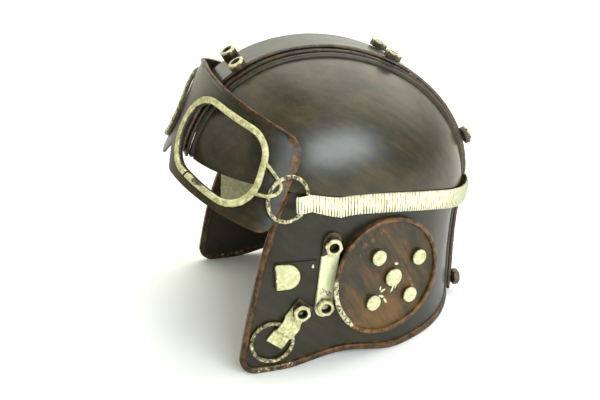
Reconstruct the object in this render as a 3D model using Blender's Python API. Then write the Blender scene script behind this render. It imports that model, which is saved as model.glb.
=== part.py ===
"""Sheet-metal flight helmet with metal goggles, built from separate named pieces.

The helmet faces -Y, +X is the wearer's left side, and it stands on z = 0.
"""
import math

import bmesh
import bpy
from mathutils import Vector

# Shell: its widest level, and its reach from there
SHELL_Y = -0.022
WIDEST_Z = 0.1234
CREST_RISE = 0.1244
CREST_REACH_FRONT = 0.117
CREST_REACH_BACK = 0.142
FRONT_ROUNDNESS = 2.22
BACK_ROUNDNESS = 1.86
SIDE_ROUNDNESS = 2.0
BACK_TAPER = 0.006
BACK_TAPER_DEPTH = 0.075

# Side domes
DOME_HALF_WIDTH = 0.103
DOME_DEPTH_UNDER_CREST = 0.0040
DOME_SHEET = 0.0016
DOME_FRONT_CORNER = 0.003
DOME_BACK_CORNER = 0.012
BROW_CENTRE_Z = 0.165
DOME_EDGE_SIDE_Z = 0.150
DOME_EDGE_BACK_DROP = 0.036
DOME_COLUMNS = 24
DOME_ROWS = 6

# Centre band, crest strip and seam beads
CREST_HALF_WIDTH = 0.0177
CREST_SHEET = 0.0026
BAND_HALF_WIDTH = 0.0225
BAND_SHEET = 0.0026
BEAD_RADIUS = 0.0022
NAPE_Z = 0.004
SHELL_STEPS = 38
BAND_BROW_LIP = 0.002

# Columns: place along the crest, turn round the shell in degrees
CREST_NUT_TURNS = (
    ("front", 60.5),
    ("top_back", 119.5),
    ("back", 163.5),
    ("nape", 260.0),
)

# Ear and neck panels
PANEL_TOP_INSET = 0.0075
PANEL_LOW_INSET = 0.0020
WALL_HALF_WIDTH_TOP = DOME_HALF_WIDTH - PANEL_TOP_INSET
WALL_HALF_WIDTH_BOTTOM = DOME_HALF_WIDTH - PANEL_LOW_INSET
WALL_UNDER_CREST = 0.0065
WALL_SHEET = 0.0016
TOE_IN_START_Z = 0.060
FLAP_FRONT_REACH = 0.087
FLAP_SLOPE = 0.28
FLAP_BOW = 0.005
FLAP_CORNER = 0.014
PANEL_TUCK = 0.005
TOP_SLIT = 0.0018
TUCK_START_S = -0.020
TUCK_FULL_S = 0.020
ARCH_RISE = 0.009
ARCH_START = -0.052
ARCH_END = 0.060
NAPE_RISE_START = 0.125
RIM_WIDTH = 0.0055
RIM_PROUD = 0.0026
RIM_BACK = 0.0021
RIM_BEVEL = 0.0011
FLAP_STEPS = 6
CORNER_STEPS = 5
BOTTOM_STEPS = 14
# Shares of the way from the rim to the top edge at which the panel has a row of points
PANEL_ROWS = (0.14, 0.30, 0.46, 0.62, 0.80, 1.0)

# Ear disc
DISC_S = 0.0415
DISC_Z = 0.0722
DISC_RADIUS = 0.051
DISC_YAW = 15.0
DISC_TILT = 3.0
DISC_HEIGHT = 0.0064
DISC_UNDERCUT = 0.0085
DISC_RIM_WIDTH = 0.0038
DISC_RIM_RISE = 0.0026
DISC_SHEET = 0.0015
STUD_HEIGHT = 0.0036
# Columns: place, distance back from the disc's centre, distance up, radius
STUDS = (
    ("centre", 0.0053, -0.0019, 0.0078),
    ("front_top", -0.0089, 0.0196, 0.0068),
    ("back_top", 0.0310, 0.0099, 0.0068),
    ("front_low", -0.0145, -0.0195, 0.0068),
    ("back_low", 0.0220, -0.0222, 0.0068),
)

# Nuts and screw plates
NUT_ACROSS_FLATS = 0.013
NUT_HEIGHT = 0.0060
NUT_BORE = 0.0070
PLATE_SHEET = 0.0026
BAR_WIDTH = 0.0146
BAR_UPPER = (-0.0071, 0.1083)
BAR_LOWER = (-0.0138, 0.0554)
BAR_END = 0.0106
BAR_CLEAR_S = 0.0060
THIN_PLATE = 0.0010
THIN_PLATE_S = (-0.0515, -0.0192)
THIN_PLATE_Z = (0.0748, 0.0958)
TAB_S = (-0.0537, -0.0335)
TAB_Z = (0.0742, 0.0948)
TAB_SHEET = 0.0028
CLIP_NUT = (-0.0333, 0.0529)
CLIP_END = (-0.0559, 0.0246)
CLIP_BEYOND_NUT = 0.0080
CLIP_WIDTH = 0.0160
CLIP_SHEET = 0.0018
CLIP_FLAT = 0.0045
CLIP_SLOPE = 0.0040

# Wire parts
LOWER_RING_CENTRE = (-0.0574, 0.0272)
LOWER_RING_RADIUS = 0.0172
WIRE_RADIUS = 0.0016
STRAP_RING_RADIUS = 0.0176
STRAP_RING_ON_MASK = (0.13217, 0.05651, 0.00265)
STRAP_RING_SLANT = 0.30
STRAP_RING_LEAN = 0.10
LINK_WIRE_RADIUS = 0.0013

# Goggle mask
MASK_BELOW_CREST_TOP = 0.0128
MASK_SEAT_GAP = 0.001733
MASK_LEAN = 24.8
MASK_INSET = 0.005
MASK_HALF_WIDTH = DOME_HALF_WIDTH - MASK_INSET
MASK_DEPTH = 0.081
MASK_WIDENING = 0.036
MASK_HEIGHT = 0.090
MASK_SHEET = 0.0018
MASK_TOP_END = (0.1365, 0.0135)
MASK_LOW_END = (0.1255, 0.0860)
MASK_TOP_CORNER = 0.016
MASK_LOW_CORNER = 0.012
NOSE_NOTCH_HALF = 0.016
NOSE_NOTCH_RISE = 0.0165
MASK_LIP = 0.0036
MASK_LIP_PROUD = 0.0012
EYE_STEPS = 28
FRAME_WIDTH = 0.0050
FRAME_PROUD = 0.0042
FRAME_BEVEL = 0.0010
# Corners of the goggle frame: distance from the nose, distance from the mask's top, radius
FRAME_CORNERS = (
    (0.0125, 0.0135, 0.0380),
    (0.1095, 0.0195, 0.0200),
    (0.1105, 0.0825, 0.0300),
    (0.0125, 0.0805, 0.0280),
)

# Columns of the link's path on the mask: distance from the nose, distance down, lift
LINK_PATH = (
    (0.1073, 0.0382, 0.0025),
    (0.1146, 0.0422, 0.0036),
    (0.1221, 0.0477, 0.0062),
    (0.1238, 0.0514, 0.0088),
    (0.1223, 0.0557, 0.0118),
    (0.1182, 0.0597, 0.0139),
    (0.1125, 0.0613, 0.0090),
    (0.1031, 0.0626, 0.0025),
)

# Strap
STRAP_WIDTH = 0.0170
STRAP_SHEET = 0.0022
STRAP_BELOW_EDGE = 0.0030
STRAP_BELOW_EDGE_FRONT = 0.0016
STRAP_NAPE_RISE = 0.004
STRAP_LAYER = 0.0012
STRAP_LOOP_WIDTH = 0.0140
STRAP_LOOP_LOW = -0.0066
STRAP_LOOP_FRONT = -0.0068
STRAP_LOOP_BACK = -0.0196
STRAP_JOIN_S = 0.012
STRAP_TAIL_CUT = 0.0034
STRAP_LIFT_START = 0.085
STRAP_CLIMB_START = 0.125
STRAP_LIFT_END = 0.176

GAP = 0.0003
STEP = 1.0e-4


def clear_scene():
    for old in list(bpy.data.objects):
        bpy.data.objects.remove(old, do_unlink=True)


def blend(a, b, x):
    """Smooth step from 0 at a to 1 at b."""
    u = min(1.0, max(0.0, (x - a) / (b - a)))
    return u * u * (3.0 - 2.0 * u)


def mix(a, b, u):
    return a + (b - a) * u


# Profiles and surfaces
def back_reach(z):
    """Reach of the crest behind the shell's centre, at height z."""
    under = min(1.0, max(0.0, (WIDEST_Z - z) / BACK_TAPER_DEPTH))
    return CREST_REACH_BACK - BACK_TAPER * math.sin(0.5 * math.pi * under)


def profile(turn, rise, front, back):
    """Side outline of the shell: turn 0 is the front level, 90 the top, 180 the back level."""
    angle = math.radians(turn)
    if turn <= 90.0:
        power = 2.0 / FRONT_ROUNDNESS
        reach = -front * math.cos(angle) ** power
        return SHELL_Y + reach, WIDEST_Z + rise * math.sin(angle) ** power
    power = 2.0 / BACK_ROUNDNESS
    lift = max(0.0, math.sin(angle))
    reach = back * abs(math.cos(angle)) ** power
    return SHELL_Y + reach, WIDEST_Z + rise * lift ** power


def crest_line(turn):
    """Outer face of the crest strip; past 180 it runs straight down the back to the nape."""
    if turn <= 180.0:
        return profile(turn, CREST_RISE, CREST_REACH_FRONT, CREST_REACH_BACK)
    z = WIDEST_Z * (1.0 - (turn - 180.0) / 90.0)
    return SHELL_Y + back_reach(z), z


def crest_point(turn, x, depth):
    """A point under the crest's outer face by the given depth."""
    y0, z0 = crest_line(turn - 0.05)
    y1, z1 = crest_line(turn + 0.05)
    along = Vector((0.0, y1 - y0, z1 - z0)).normalized()
    outward = Vector((0.0, -along.z, along.y))
    y, z = crest_line(turn)
    return Vector((x, y, z)) + outward * -depth


def crest_turn_at(z, front):
    """The turn at which the crest line reaches height z, on its front or its back."""
    low, high = (1.0, 89.0) if front else (91.0, 269.0)
    for _ in range(50):
        middle = 0.5 * (low + high)
        if (crest_line(middle)[1] < z) == front:
            low = middle
        else:
            high = middle
    return 0.5 * (low + high)


def dome_measure(v):
    """1 on the dome's outer face, measured from the shell's centre."""
    rise = CREST_RISE - DOME_DEPTH_UNDER_CREST
    if v.y <= 0.0:
        power = FRONT_ROUNDNESS
        reach = CREST_REACH_FRONT - DOME_DEPTH_UNDER_CREST
    else:
        power = BACK_ROUNDNESS
        reach = CREST_REACH_BACK - DOME_DEPTH_UNDER_CREST
    side = (abs(v.y) / reach) ** power + (abs(v.z) / rise) ** power
    return (side ** (SIDE_ROUNDNESS / power) + (abs(v.x) / DOME_HALF_WIDTH) ** SIDE_ROUNDNESS) ** (
        1.0 / SIDE_ROUNDNESS)


def dome_centre():
    return Vector((0.0, SHELL_Y, WIDEST_Z))


def onto_dome(point):
    """The point moved straight out from the shell's centre to the dome's outer face."""
    v = point - dome_centre()
    return dome_centre() + v / dome_measure(v)


def dome_normal(point):
    v = point - dome_centre()
    base = dome_measure(v)
    slope = []
    for axis in range(3):
        moved = v.copy()
        moved[axis] += STEP
        slope.append((dome_measure(moved) - base) / STEP)
    return Vector(slope).normalized()


def dome_edge_z(y):
    """Height of the dome's lower edge: brow in front, falling towards the nape."""
    if y < SHELL_Y:
        share = (SHELL_Y - y) / (CREST_REACH_FRONT - DOME_DEPTH_UNDER_CREST)
        return mix(DOME_EDGE_SIDE_Z, BROW_CENTRE_Z, min(1.0, share))
    share = (y - SHELL_Y) / CREST_REACH_BACK
    return DOME_EDGE_SIDE_Z - DOME_EDGE_BACK_DROP * share * share


def dome_edge_point(bearing):
    """The lower edge at a bearing from the front (0) round the side (90) to the back (180)."""
    angle = math.radians(bearing)
    low, high = -0.9, 1.6
    for _ in range(40):
        slope = 0.5 * (low + high)
        point = onto_dome(dome_centre() + Vector((math.sin(angle), -math.cos(angle), slope)))
        if point.z < dome_edge_z(point.y):
            low = slope
        else:
            high = slope
    return point


def dome_seam_point(turn, x):
    """The dome's outer face over the seam at a distance x from the middle."""
    narrow = (1.0 - (x / DOME_HALF_WIDTH) ** SIDE_ROUNDNESS) ** (1.0 / SIDE_ROUNDNESS)
    y, z = profile(turn, (CREST_RISE - DOME_DEPTH_UNDER_CREST) * narrow,
                   (CREST_REACH_FRONT - DOME_DEPTH_UNDER_CREST) * narrow,
                   (CREST_REACH_BACK - DOME_DEPTH_UNDER_CREST) * narrow)
    return Vector((x, y, z))


def wall_half_width(z):
    share = min(1.0, max(0.0, z / DOME_EDGE_SIDE_Z))
    return mix(WALL_HALF_WIDTH_BOTTOM, WALL_HALF_WIDTH_TOP, share)


def wall_skin(s, z):
    """Outer face of the ear panel: s runs back from the widest point, z is the height."""
    half = wall_half_width(z)
    if s < 0.0:
        front = CREST_REACH_FRONT - DOME_DEPTH_UNDER_CREST
        share = min(0.98, -s / front)
        oval = math.sqrt(1.0 - share ** FRONT_ROUNDNESS)
        toe_in = blend(TOE_IN_START_Z, DOME_EDGE_SIDE_Z, z)
        return Vector((half * mix(1.0, oval, toe_in), SHELL_Y + s, z))
    reach = back_reach(z) - WALL_UNDER_CREST
    angle = s / (CREST_REACH_BACK - WALL_UNDER_CREST)
    return Vector((half * math.cos(angle), SHELL_Y + reach * math.sin(angle), z))


def lifted(skin, u, v, lift):
    """A point of a surface, lifted along the surface's outward normal."""
    along_u = skin(u + STEP, v) - skin(u - STEP, v)
    along_v = skin(u, v + STEP) - skin(u, v - STEP)
    return skin(u, v) + along_u.cross(along_v).normalized() * lift


def wall_point(s, z, lift=0.0):
    return lifted(wall_skin, s, z, lift)


def wall_normal(s, z):
    return (wall_point(s, z, 0.001) - wall_point(s, z)).normalized()


def wall_end(x, z):
    """How far back along the panel its skin comes to within x of the middle."""
    return (CREST_REACH_BACK - WALL_UNDER_CREST) * math.acos(x / wall_half_width(z))


MASK_STEPS = 160


def mask_lengths():
    """Length along the bent mask at equal steps of its oval angle."""
    lengths = [0.0]
    for i in range(MASK_STEPS):
        angle = 0.5 * math.pi * (i + 0.5) / MASK_STEPS
        speed = math.hypot(MASK_HALF_WIDTH * math.cos(angle), MASK_DEPTH * math.sin(angle))
        lengths.append(lengths[-1] + speed * 0.5 * math.pi / MASK_STEPS)
    return lengths


MASK_LENGTHS = mask_lengths()


def mask_angle(s):
    for i in range(MASK_STEPS):
        if MASK_LENGTHS[i + 1] >= s:
            share = (s - MASK_LENGTHS[i]) / (MASK_LENGTHS[i + 1] - MASK_LENGTHS[i])
            return 0.5 * math.pi * (i + share) / MASK_STEPS
    past = s - MASK_LENGTHS[-1]
    return 0.5 * math.pi + past / MASK_DEPTH


def mask_top():
    """Top middle of the mask: its back leans on the crest where both slope alike."""
    lean = math.radians(MASK_LEAN)
    outward = Vector((0.0, -math.cos(lean), math.sin(lean)))
    reach = max(crest_point(0.25 * k, 0.0, 0.0).dot(outward) for k in range(20, 360))
    reach += MASK_SEAT_GAP + MASK_SHEET
    z = WIDEST_Z + CREST_RISE - MASK_BELOW_CREST_TOP
    return (z * math.sin(lean) - reach) / math.cos(lean), z


MASK_TOP_Y, MASK_TOP_Z = mask_top()


def mask_skin(s, t):
    """Outer face of the mask: s runs from the nose to its side end, t down from its top."""
    angle = mask_angle(abs(s))
    lean = math.radians(MASK_LEAN)
    half = MASK_HALF_WIDTH + MASK_WIDENING * (t / MASK_HEIGHT - 0.5)
    back = MASK_DEPTH * (1.0 - math.cos(angle))
    side = math.copysign(half * math.sin(angle), s)
    return Vector((side,
                   MASK_TOP_Y - t * math.sin(lean) + back * math.cos(lean),
                   MASK_TOP_Z - t * math.cos(lean) - back * math.sin(lean)))


def mask_point(s, t, lift=0.0):
    return lifted(mask_skin, s, t, -lift)


# Mesh helpers
def finish(name, bm, material, smooth=35.0):
    """Turn a bmesh into a named object with its own material."""
    bmesh.ops.recalc_face_normals(bm, faces=bm.faces)
    mesh = bpy.data.meshes.new(name)
    bm.to_mesh(mesh)
    bm.free()
    mesh.materials.append(material)
    mesh.shade_smooth()
    mesh.set_sharp_from_angle(angle=math.radians(smooth))
    thing = bpy.data.objects.new(name, mesh)
    bpy.context.scene.collection.objects.link(thing)
    return thing


def solid_grid(outer, inner):
    """A closed sheet from two grids of points, outer[row][column] and inner[row][column]."""
    bm = bmesh.new()
    rows, columns = len(outer), len(outer[0])
    top = [[bm.verts.new(p) for p in row] for row in outer]
    low = [[bm.verts.new(p) for p in row] for row in inner]
    for i in range(rows - 1):
        for j in range(columns - 1):
            bm.faces.new((top[i][j], top[i + 1][j], top[i + 1][j + 1], top[i][j + 1]))
            bm.faces.new((low[i][j], low[i][j + 1], low[i + 1][j + 1], low[i + 1][j]))
    edge = [(i, 0) for i in range(rows)] + [(rows - 1, j) for j in range(1, columns)]
    edge += [(i, columns - 1) for i in range(rows - 2, -1, -1)]
    edge += [(0, j) for j in range(columns - 2, 0, -1)]
    for k, (i, j) in enumerate(edge):
        m, n = edge[(k + 1) % len(edge)]
        bm.faces.new((top[i][j], low[i][j], low[m][n], top[m][n]))
    return bm


def sweep(sections, closed=False):
    """Skin a row of equal sections; an open row gets flat ends."""
    bm = bmesh.new()
    rings = [[bm.verts.new(p) for p in section] for section in sections]
    sides = len(rings[0])
    pairs = len(rings) if closed else len(rings) - 1
    for i in range(pairs):
        here, there = rings[i], rings[(i + 1) % len(rings)]
        for j in range(sides):
            k = (j + 1) % sides
            bm.faces.new((here[j], here[k], there[k], there[j]))
    if not closed:
        bm.faces.new(rings[0])
        bm.faces.new(list(reversed(rings[-1])))
    return bm


def wire(path, radius, sides, closed=False):
    """A round wire along a list of points."""
    count = len(path)
    sections = []
    side_way = None
    for i, point in enumerate(path):
        before = path[(i - 1) % count] if closed or i > 0 else point
        after = path[(i + 1) % count] if closed or i < count - 1 else point
        along = (after - before).normalized()
        if side_way is None:
            side_way = along.orthogonal().normalized()
        side_way = (side_way - along * side_way.dot(along)).normalized()
        other = along.cross(side_way)
        sections.append([point + (side_way * math.cos(a) + other * math.sin(a)) * radius
                         for a in (2.0 * math.pi * k / sides for k in range(sides))])
    return sweep(sections, closed)


def sheet(outline, point_at, low, high, cuts_u, cuts_v):
    """A closed sheet bent over a surface, from a flat outline.

    low and high are the lifts of its two faces; cuts are the lines that it bends along.
    """
    bm = bmesh.new()
    verts = [bm.verts.new((u, v, 0.0)) for u, v in outline]
    for i, vert in enumerate(verts):
        bm.edges.new((vert, verts[(i + 1) % len(verts)]))
    bmesh.ops.triangle_fill(bm, use_beauty=True, edges=bm.edges[:])
    for axis, cuts in ((0, cuts_u), (1, cuts_v)):
        for cut in cuts:
            place, way = [0.0, 0.0, 0.0], [0.0, 0.0, 0.0]
            place[axis], way[axis] = cut, 1.0
            parts = bm.verts[:] + bm.edges[:] + bm.faces[:]
            bmesh.ops.bisect_plane(bm, geom=parts, plane_co=place, plane_no=way, dist=1.0e-6)
    flat = {vert: (vert.co.x, vert.co.y) for vert in bm.verts}
    faces = [list(face.verts) for face in bm.faces]
    border = [edge for edge in bm.edges if len(edge.link_faces) == 1]
    skin = bmesh.new()
    top, under = {}, {}
    for vert, (u, v) in flat.items():
        top[vert] = skin.verts.new(point_at(u, v, high))
        under[vert] = skin.verts.new(point_at(u, v, low))
    for face in faces:
        skin.faces.new([top[vert] for vert in face])
        skin.faces.new([under[vert] for vert in reversed(face)])
    for edge in border:
        a, b = edge.verts
        skin.faces.new((top[a], under[a], under[b], top[b]))
    bm.free()
    return skin


def spread(low, high, step):
    """Cut lines between two values, about a step apart."""
    count = max(1, round((high - low) / step))
    return [low + (high - low) * i / count for i in range(1, count)]


def round_corners(points, radii, steps=5):
    """A flat outline whose corners are rounded, each by its own radius."""
    result = []
    count = len(points)
    for i in range(count):
        here = Vector(points[i])
        before = (Vector(points[i - 1]) - here).normalized()
        after = (Vector(points[(i + 1) % count]) - here).normalized()
        radius = radii[i]
        if radius <= 0.0:
            result.append(tuple(here))
            continue
        half = 0.5 * before.angle(after)
        centre = here + (before + after).normalized() * (radius / math.sin(half))
        start = here + before * (radius / math.tan(half)) - centre
        end = here + after * (radius / math.tan(half)) - centre
        for k in range(steps + 1):
            share = k / steps
            arm = (start * (1.0 - share) + end * share).normalized() * radius
            result.append(tuple(centre + arm))
    return result


def joined(base, others, name):
    """Fuse pieces into one body."""
    for other in others:
        other.hide_render = True
        other.display_type = "WIRE"
        union = base.modifiers.new(name, "BOOLEAN")
        union.operation = "UNION"
        union.solver = "EXACT"
        union.object = other
    return base


# Materials
def paint(name, colour, roughness, metallic):
    material = bpy.data.materials.new(name)
    material.use_nodes = True
    shader = material.node_tree.nodes["Principled BSDF"]
    shader.inputs["Base Color"].default_value = (*colour, 1.0)
    shader.inputs["Roughness"].default_value = roughness
    shader.inputs["Metallic"].default_value = metallic
    material.diffuse_color = (*colour, 1.0)
    return material


def dark_lacquer(name):
    return paint("lacquer_" + name, (0.070, 0.055, 0.040), 0.34, 0.55)


def copper_rub(name):
    return paint("copper_" + name, (0.160, 0.078, 0.038), 0.38, 0.60)


def pale_gold(name):
    return paint("gold_" + name, (0.640, 0.600, 0.360), 0.45, 0.25)


def cream_paint(name):
    return paint("cream_" + name, (0.760, 0.740, 0.520), 0.60, 0.0)


# Shell
def make_dome(side, name):
    seam_x = BAND_HALF_WIDTH + 2.0 * BEAD_RADIUS + 2.0 * GAP
    columns, rows = DOME_COLUMNS, DOME_ROWS
    front_z = dome_edge_z(SHELL_Y - CREST_REACH_FRONT) + DOME_FRONT_CORNER
    back_z = dome_edge_z(SHELL_Y + CREST_REACH_BACK) + DOME_BACK_CORNER
    turns = []
    for z, front in ((front_z, True), (back_z, False)):
        low, high = (0.5, 89.0) if front else (91.0, 179.9)
        for _ in range(40):
            middle = 0.5 * (low + high)
            if (dome_seam_point(middle, seam_x).z < z) == front:
                low = middle
            else:
                high = middle
        turns.append(0.5 * (low + high))
    start = math.degrees(math.asin((seam_x + DOME_FRONT_CORNER) / CREST_REACH_FRONT))
    finish_bearing = 180.0 - math.degrees(
        math.asin((seam_x + DOME_BACK_CORNER) / CREST_REACH_BACK))
    outer, inner = [], []
    for i in range(columns + 1):
        share = i / columns
        edge = dome_edge_point(mix(start, finish_bearing, share))
        seam = dome_seam_point(mix(turns[0], turns[1], share), seam_x)
        bulge = max(0.0, 1.0 - 6.0 * min(share, 1.0 - share))
        corner = Vector((seam_x, edge.y, edge.z))
        line_out, line_in = [], []
        for j in range(rows + 1):
            up = j / rows
            point = edge.lerp(seam, up)
            pull = 0.35 * bulge * 4.0 * up * (1.0 - up)
            point = point.lerp(corner, pull)
            point.x = max(point.x, seam_x)
            point = onto_dome(point)
            normal = dome_normal(point)
            low = point - normal * DOME_SHEET
            for target, grid in ((point, line_out), (low, line_in)):
                grid.append(Vector((target.x * side, target.y, target.z)))
        outer.append(line_out)
        inner.append(line_in)
    return finish(name, solid_grid(outer, inner), dark_lacquer(name))


def strip_sections(half, depth, thickness, first, last, steps):
    sections = []
    for i in range(steps + 1):
        turn = mix(first, last, i / steps)
        low, high = depth + thickness, depth
        sections.append([crest_point(turn, -half, high), crest_point(turn, half, high),
                         crest_point(turn, half, low), crest_point(turn, -half, low)])
    return sections


def make_centre_band():
    first = crest_turn_at(BROW_CENTRE_Z, True)
    last = crest_turn_at(NAPE_Z, False)
    sections = strip_sections(BAND_HALF_WIDTH, CREST_SHEET + GAP, BAND_SHEET, first, last, SHELL_STEPS)
    return finish("centre_band", sweep(sections), dark_lacquer("centre_band"))


def make_crest_strip():
    first = crest_turn_at(BROW_CENTRE_Z + BAND_BROW_LIP, True)
    last = crest_turn_at(NAPE_Z + BAND_BROW_LIP, False)
    sections = strip_sections(CREST_HALF_WIDTH, 0.0, CREST_SHEET, first, last, SHELL_STEPS)
    return finish("crest_strip", sweep(sections), copper_rub("crest_strip"))


def bead_path(side):
    """The seam beside the band, from the brow over the top and down to the nape."""
    x = BAND_HALF_WIDTH + GAP + BEAD_RADIUS
    first = crest_turn_at(BROW_CENTRE_Z + BEAD_RADIUS, True)
    last = crest_turn_at(NAPE_Z + BEAD_RADIUS, False)
    path = []
    for i in range(SHELL_STEPS + 1):
        turn = mix(first, last, i / SHELL_STEPS)
        point = dome_seam_point(min(turn, 180.0), x)
        if turn > 180.0:
            point.z = crest_line(turn)[1]
        half = wall_half_width(point.z)
        reach = back_reach(point.z) - WALL_UNDER_CREST
        wall_y = SHELL_Y + reach * math.sqrt(1.0 - (x / half) ** 2)
        if turn > 90.0:
            point.y = mix(wall_y, point.y, blend(WIDEST_Z - 0.03, WIDEST_Z + 0.03, point.z))
        path.append(Vector((x * side, point.y, point.z)))
    return path


def make_seam_bead(side, name):
    return finish(name, wire(bead_path(side), BEAD_RADIUS, 5), dark_lacquer(name), 70.0)


# Ear and neck panels
def flap_front_s(z):
    """Where the panel's front edge lies at height z."""
    share = min(1.0, max(0.0, z / DOME_EDGE_SIDE_Z))
    return -FLAP_FRONT_REACH + FLAP_SLOPE * z - FLAP_BOW * math.sin(math.pi * share)


def panel_bottom_z(s):
    """Height of the rim's underside: an arch between the flap's corner and the back."""
    if ARCH_START < s < ARCH_END:
        share = (s - ARCH_START) / (ARCH_END - ARCH_START)
        return ARCH_RISE * math.sin(math.pi * share) ** 2
    return NAPE_Z * blend(NAPE_RISE_START, wall_end(BAND_HALF_WIDTH + 2.0 * BEAD_RADIUS, 0.0), s)


def panel_top_z(s):
    y = wall_skin(s, DOME_EDGE_SIDE_Z).y
    return dome_edge_z(y) - TOP_SLIT + (TOP_SLIT + PANEL_TUCK) * blend(TUCK_START_S, TUCK_FULL_S, s)


def panel_front_top_z():
    z = DOME_EDGE_SIDE_Z
    for _ in range(20):
        z = panel_top_z(flap_front_s(z))
    return z


def panel_end_s(z):
    return wall_end(BAND_HALF_WIDTH + 2.0 * (BEAD_RADIUS + GAP), z)


def edge_path(inset):
    """Points (s, z) down the flap's front, round its corner and along the bottom."""
    top = panel_front_top_z()
    radius = FLAP_CORNER - inset
    path = []
    for i in range(FLAP_STEPS):
        z = mix(top, FLAP_CORNER, i / FLAP_STEPS)
        path.append((flap_front_s(z) + inset, z))
    centre_s = flap_front_s(FLAP_CORNER) + FLAP_CORNER
    for i in range(CORNER_STEPS):
        angle = math.radians(180.0 + 90.0 * i / (CORNER_STEPS - 1))
        path.append((centre_s + radius * math.cos(angle), FLAP_CORNER + radius * math.sin(angle)))
    last = panel_end_s(NAPE_Z)
    for i in range(1, BOTTOM_STEPS + 1):
        s = mix(centre_s, last, i / BOTTOM_STEPS)
        path.append((s, panel_bottom_z(s) + inset))
    return path


def make_panel(side, name):
    """The bent sheet and its rolled rim as one body: rows run in from the rim to the top edge."""
    rim = ((0.0, RIM_PROUD - RIM_BEVEL, RIM_BACK), (RIM_BEVEL, RIM_PROUD, RIM_BACK),
           (RIM_WIDTH - RIM_BEVEL, RIM_PROUD, RIM_BACK), (RIM_WIDTH, 0.0, RIM_BACK),
           (RIM_WIDTH + RIM_BEVEL, 0.0, WALL_SHEET))
    paths = [edge_path(inset) for inset, proud, back in rim]
    count = len(paths[0])
    front = flap_front_s(panel_front_top_z()) + 2.0 * RIM_WIDTH
    upright = FLAP_STEPS + CORNER_STEPS
    outer, inner = [], []
    for k in range(count):
        share = 0.22 * k / upright if k < upright else mix(
            0.22, 1.0, (k - upright + 1) / (count - upright))
        top_s = mix(front, panel_end_s(WIDEST_Z), share)
        top = (top_s, panel_top_z(top_s))
        rows = [(paths[r][k], proud, back) for r, (inset, proud, back) in enumerate(rim)]
        base_s, base_z = paths[-1][k]
        for reach in PANEL_ROWS:
            rows.append(((mix(base_s, top[0], reach), mix(base_z, top[1], reach)), 0.0, WALL_SHEET))
        line_out, line_in = [], []
        for (s, z), proud, back in rows:
            s = min(s, panel_end_s(z))
            for lift, line in ((proud, line_out), (-back, line_in)):
                point = wall_point(s, z, lift)
                line.append(Vector((point.x * side, point.y, z)))
        outer.append(line_out)
        inner.append(line_in)
    return finish(name, solid_grid(outer, inner), dark_lacquer(name))


# Ear discs
def disc_axes():
    """Centre on the panel, outward axis, upward axis and backward axis of the left disc."""
    yaw, tilt = math.radians(DISC_YAW), math.radians(DISC_TILT)
    axis = Vector((math.cos(yaw) * math.cos(tilt), math.sin(yaw) * math.cos(tilt), math.sin(tilt)))
    up = (Vector((0.0, 0.0, 1.0)) - axis * axis.z).normalized()
    back = up.cross(axis)
    if back.y < 0.0:
        back = -back
    return wall_point(DISC_S, DISC_Z), axis, up, back


def onto_wall(point, axis, lift):
    """The point moved along an axis until it lies the given lift above the panel."""
    def above(p):
        half = wall_half_width(p.z) + lift
        reach = back_reach(p.z) - WALL_UNDER_CREST + lift
        if p.y <= SHELL_Y:
            return p.x - half
        return math.hypot(p.x / half, (p.y - SHELL_Y) / reach) * half - half

    low, high = -0.05, 0.05
    for _ in range(40):
        middle = 0.5 * (low + high)
        if above(point + axis * middle) < 0.0:
            low = middle
        else:
            high = middle
    return point + axis * high


def make_ear_disc(side, name):
    centre, axis, up, back = disc_axes()
    inner_radius = DISC_RADIUS - DISC_SHEET
    face = DISC_HEIGHT - DISC_RIM_RISE
    segments = 36
    rings = []
    for radius, height in ((DISC_RADIUS, None), (DISC_RADIUS, DISC_HEIGHT - 0.0008),
                           (DISC_RADIUS - 0.0008, DISC_HEIGHT),
                           (DISC_RADIUS - DISC_RIM_WIDTH + 0.0008, DISC_HEIGHT),
                           (DISC_RADIUS - DISC_RIM_WIDTH, face), (0.0, face),
                           (0.0, face - DISC_SHEET), (inner_radius, face - DISC_SHEET),
                           (inner_radius, None)):
        ring = []
        for i in range(segments):
            angle = 2.0 * math.pi * i / segments
            arm = back * math.cos(angle) + up * math.sin(angle)
            if height is None:
                foot = centre + arm * (radius - DISC_UNDERCUT * max(0.0, -math.cos(angle)) ** 3)
                over_bar = blend(BAR_CLEAR_S, 0.0, onto_wall(foot, axis, GAP).y - SHELL_Y)
                point = onto_wall(foot, axis, GAP + over_bar * (PLATE_SHEET + GAP))
            else:
                point = centre + arm * radius + axis * height
            ring.append(Vector((point.x * side, point.y, point.z)))
            if radius == 0.0:
                break
        rings.append(ring)
    bm = bmesh.new()
    verts = [[bm.verts.new(p) for p in ring] for ring in rings]
    for k in range(len(verts)):
        here, there = verts[k], verts[(k + 1) % len(verts)]
        if len(here) == 1 and len(there) == 1:
            continue
        for i in range(segments):
            j = (i + 1) % segments
            if len(there) == 1:
                bm.faces.new((here[i], here[j], there[0]))
            elif len(here) == 1:
                bm.faces.new((here[0], there[j], there[i]))
            else:
                bm.faces.new((here[i], here[j], there[j], there[i]))
    return finish(name, bm, copper_rub(name))


def turned(centre, axis, first_way, radius, heights, sides, turn=0.0):
    """A straight-sided disc or prism as two equal rings."""
    across = axis.cross(first_way).normalized()
    way = across.cross(axis).normalized()
    sections = []
    for height in heights:
        ring = []
        for k in range(sides):
            angle = turn + 2.0 * math.pi * k / sides
            arm = way * math.cos(angle) + across * math.sin(angle)
            ring.append(centre + arm * radius + axis * height)
        sections.append(ring)
    return sections


def mirrored(sections, side):
    return [[Vector((p.x * side, p.y, p.z)) for p in ring] for ring in sections]


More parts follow.
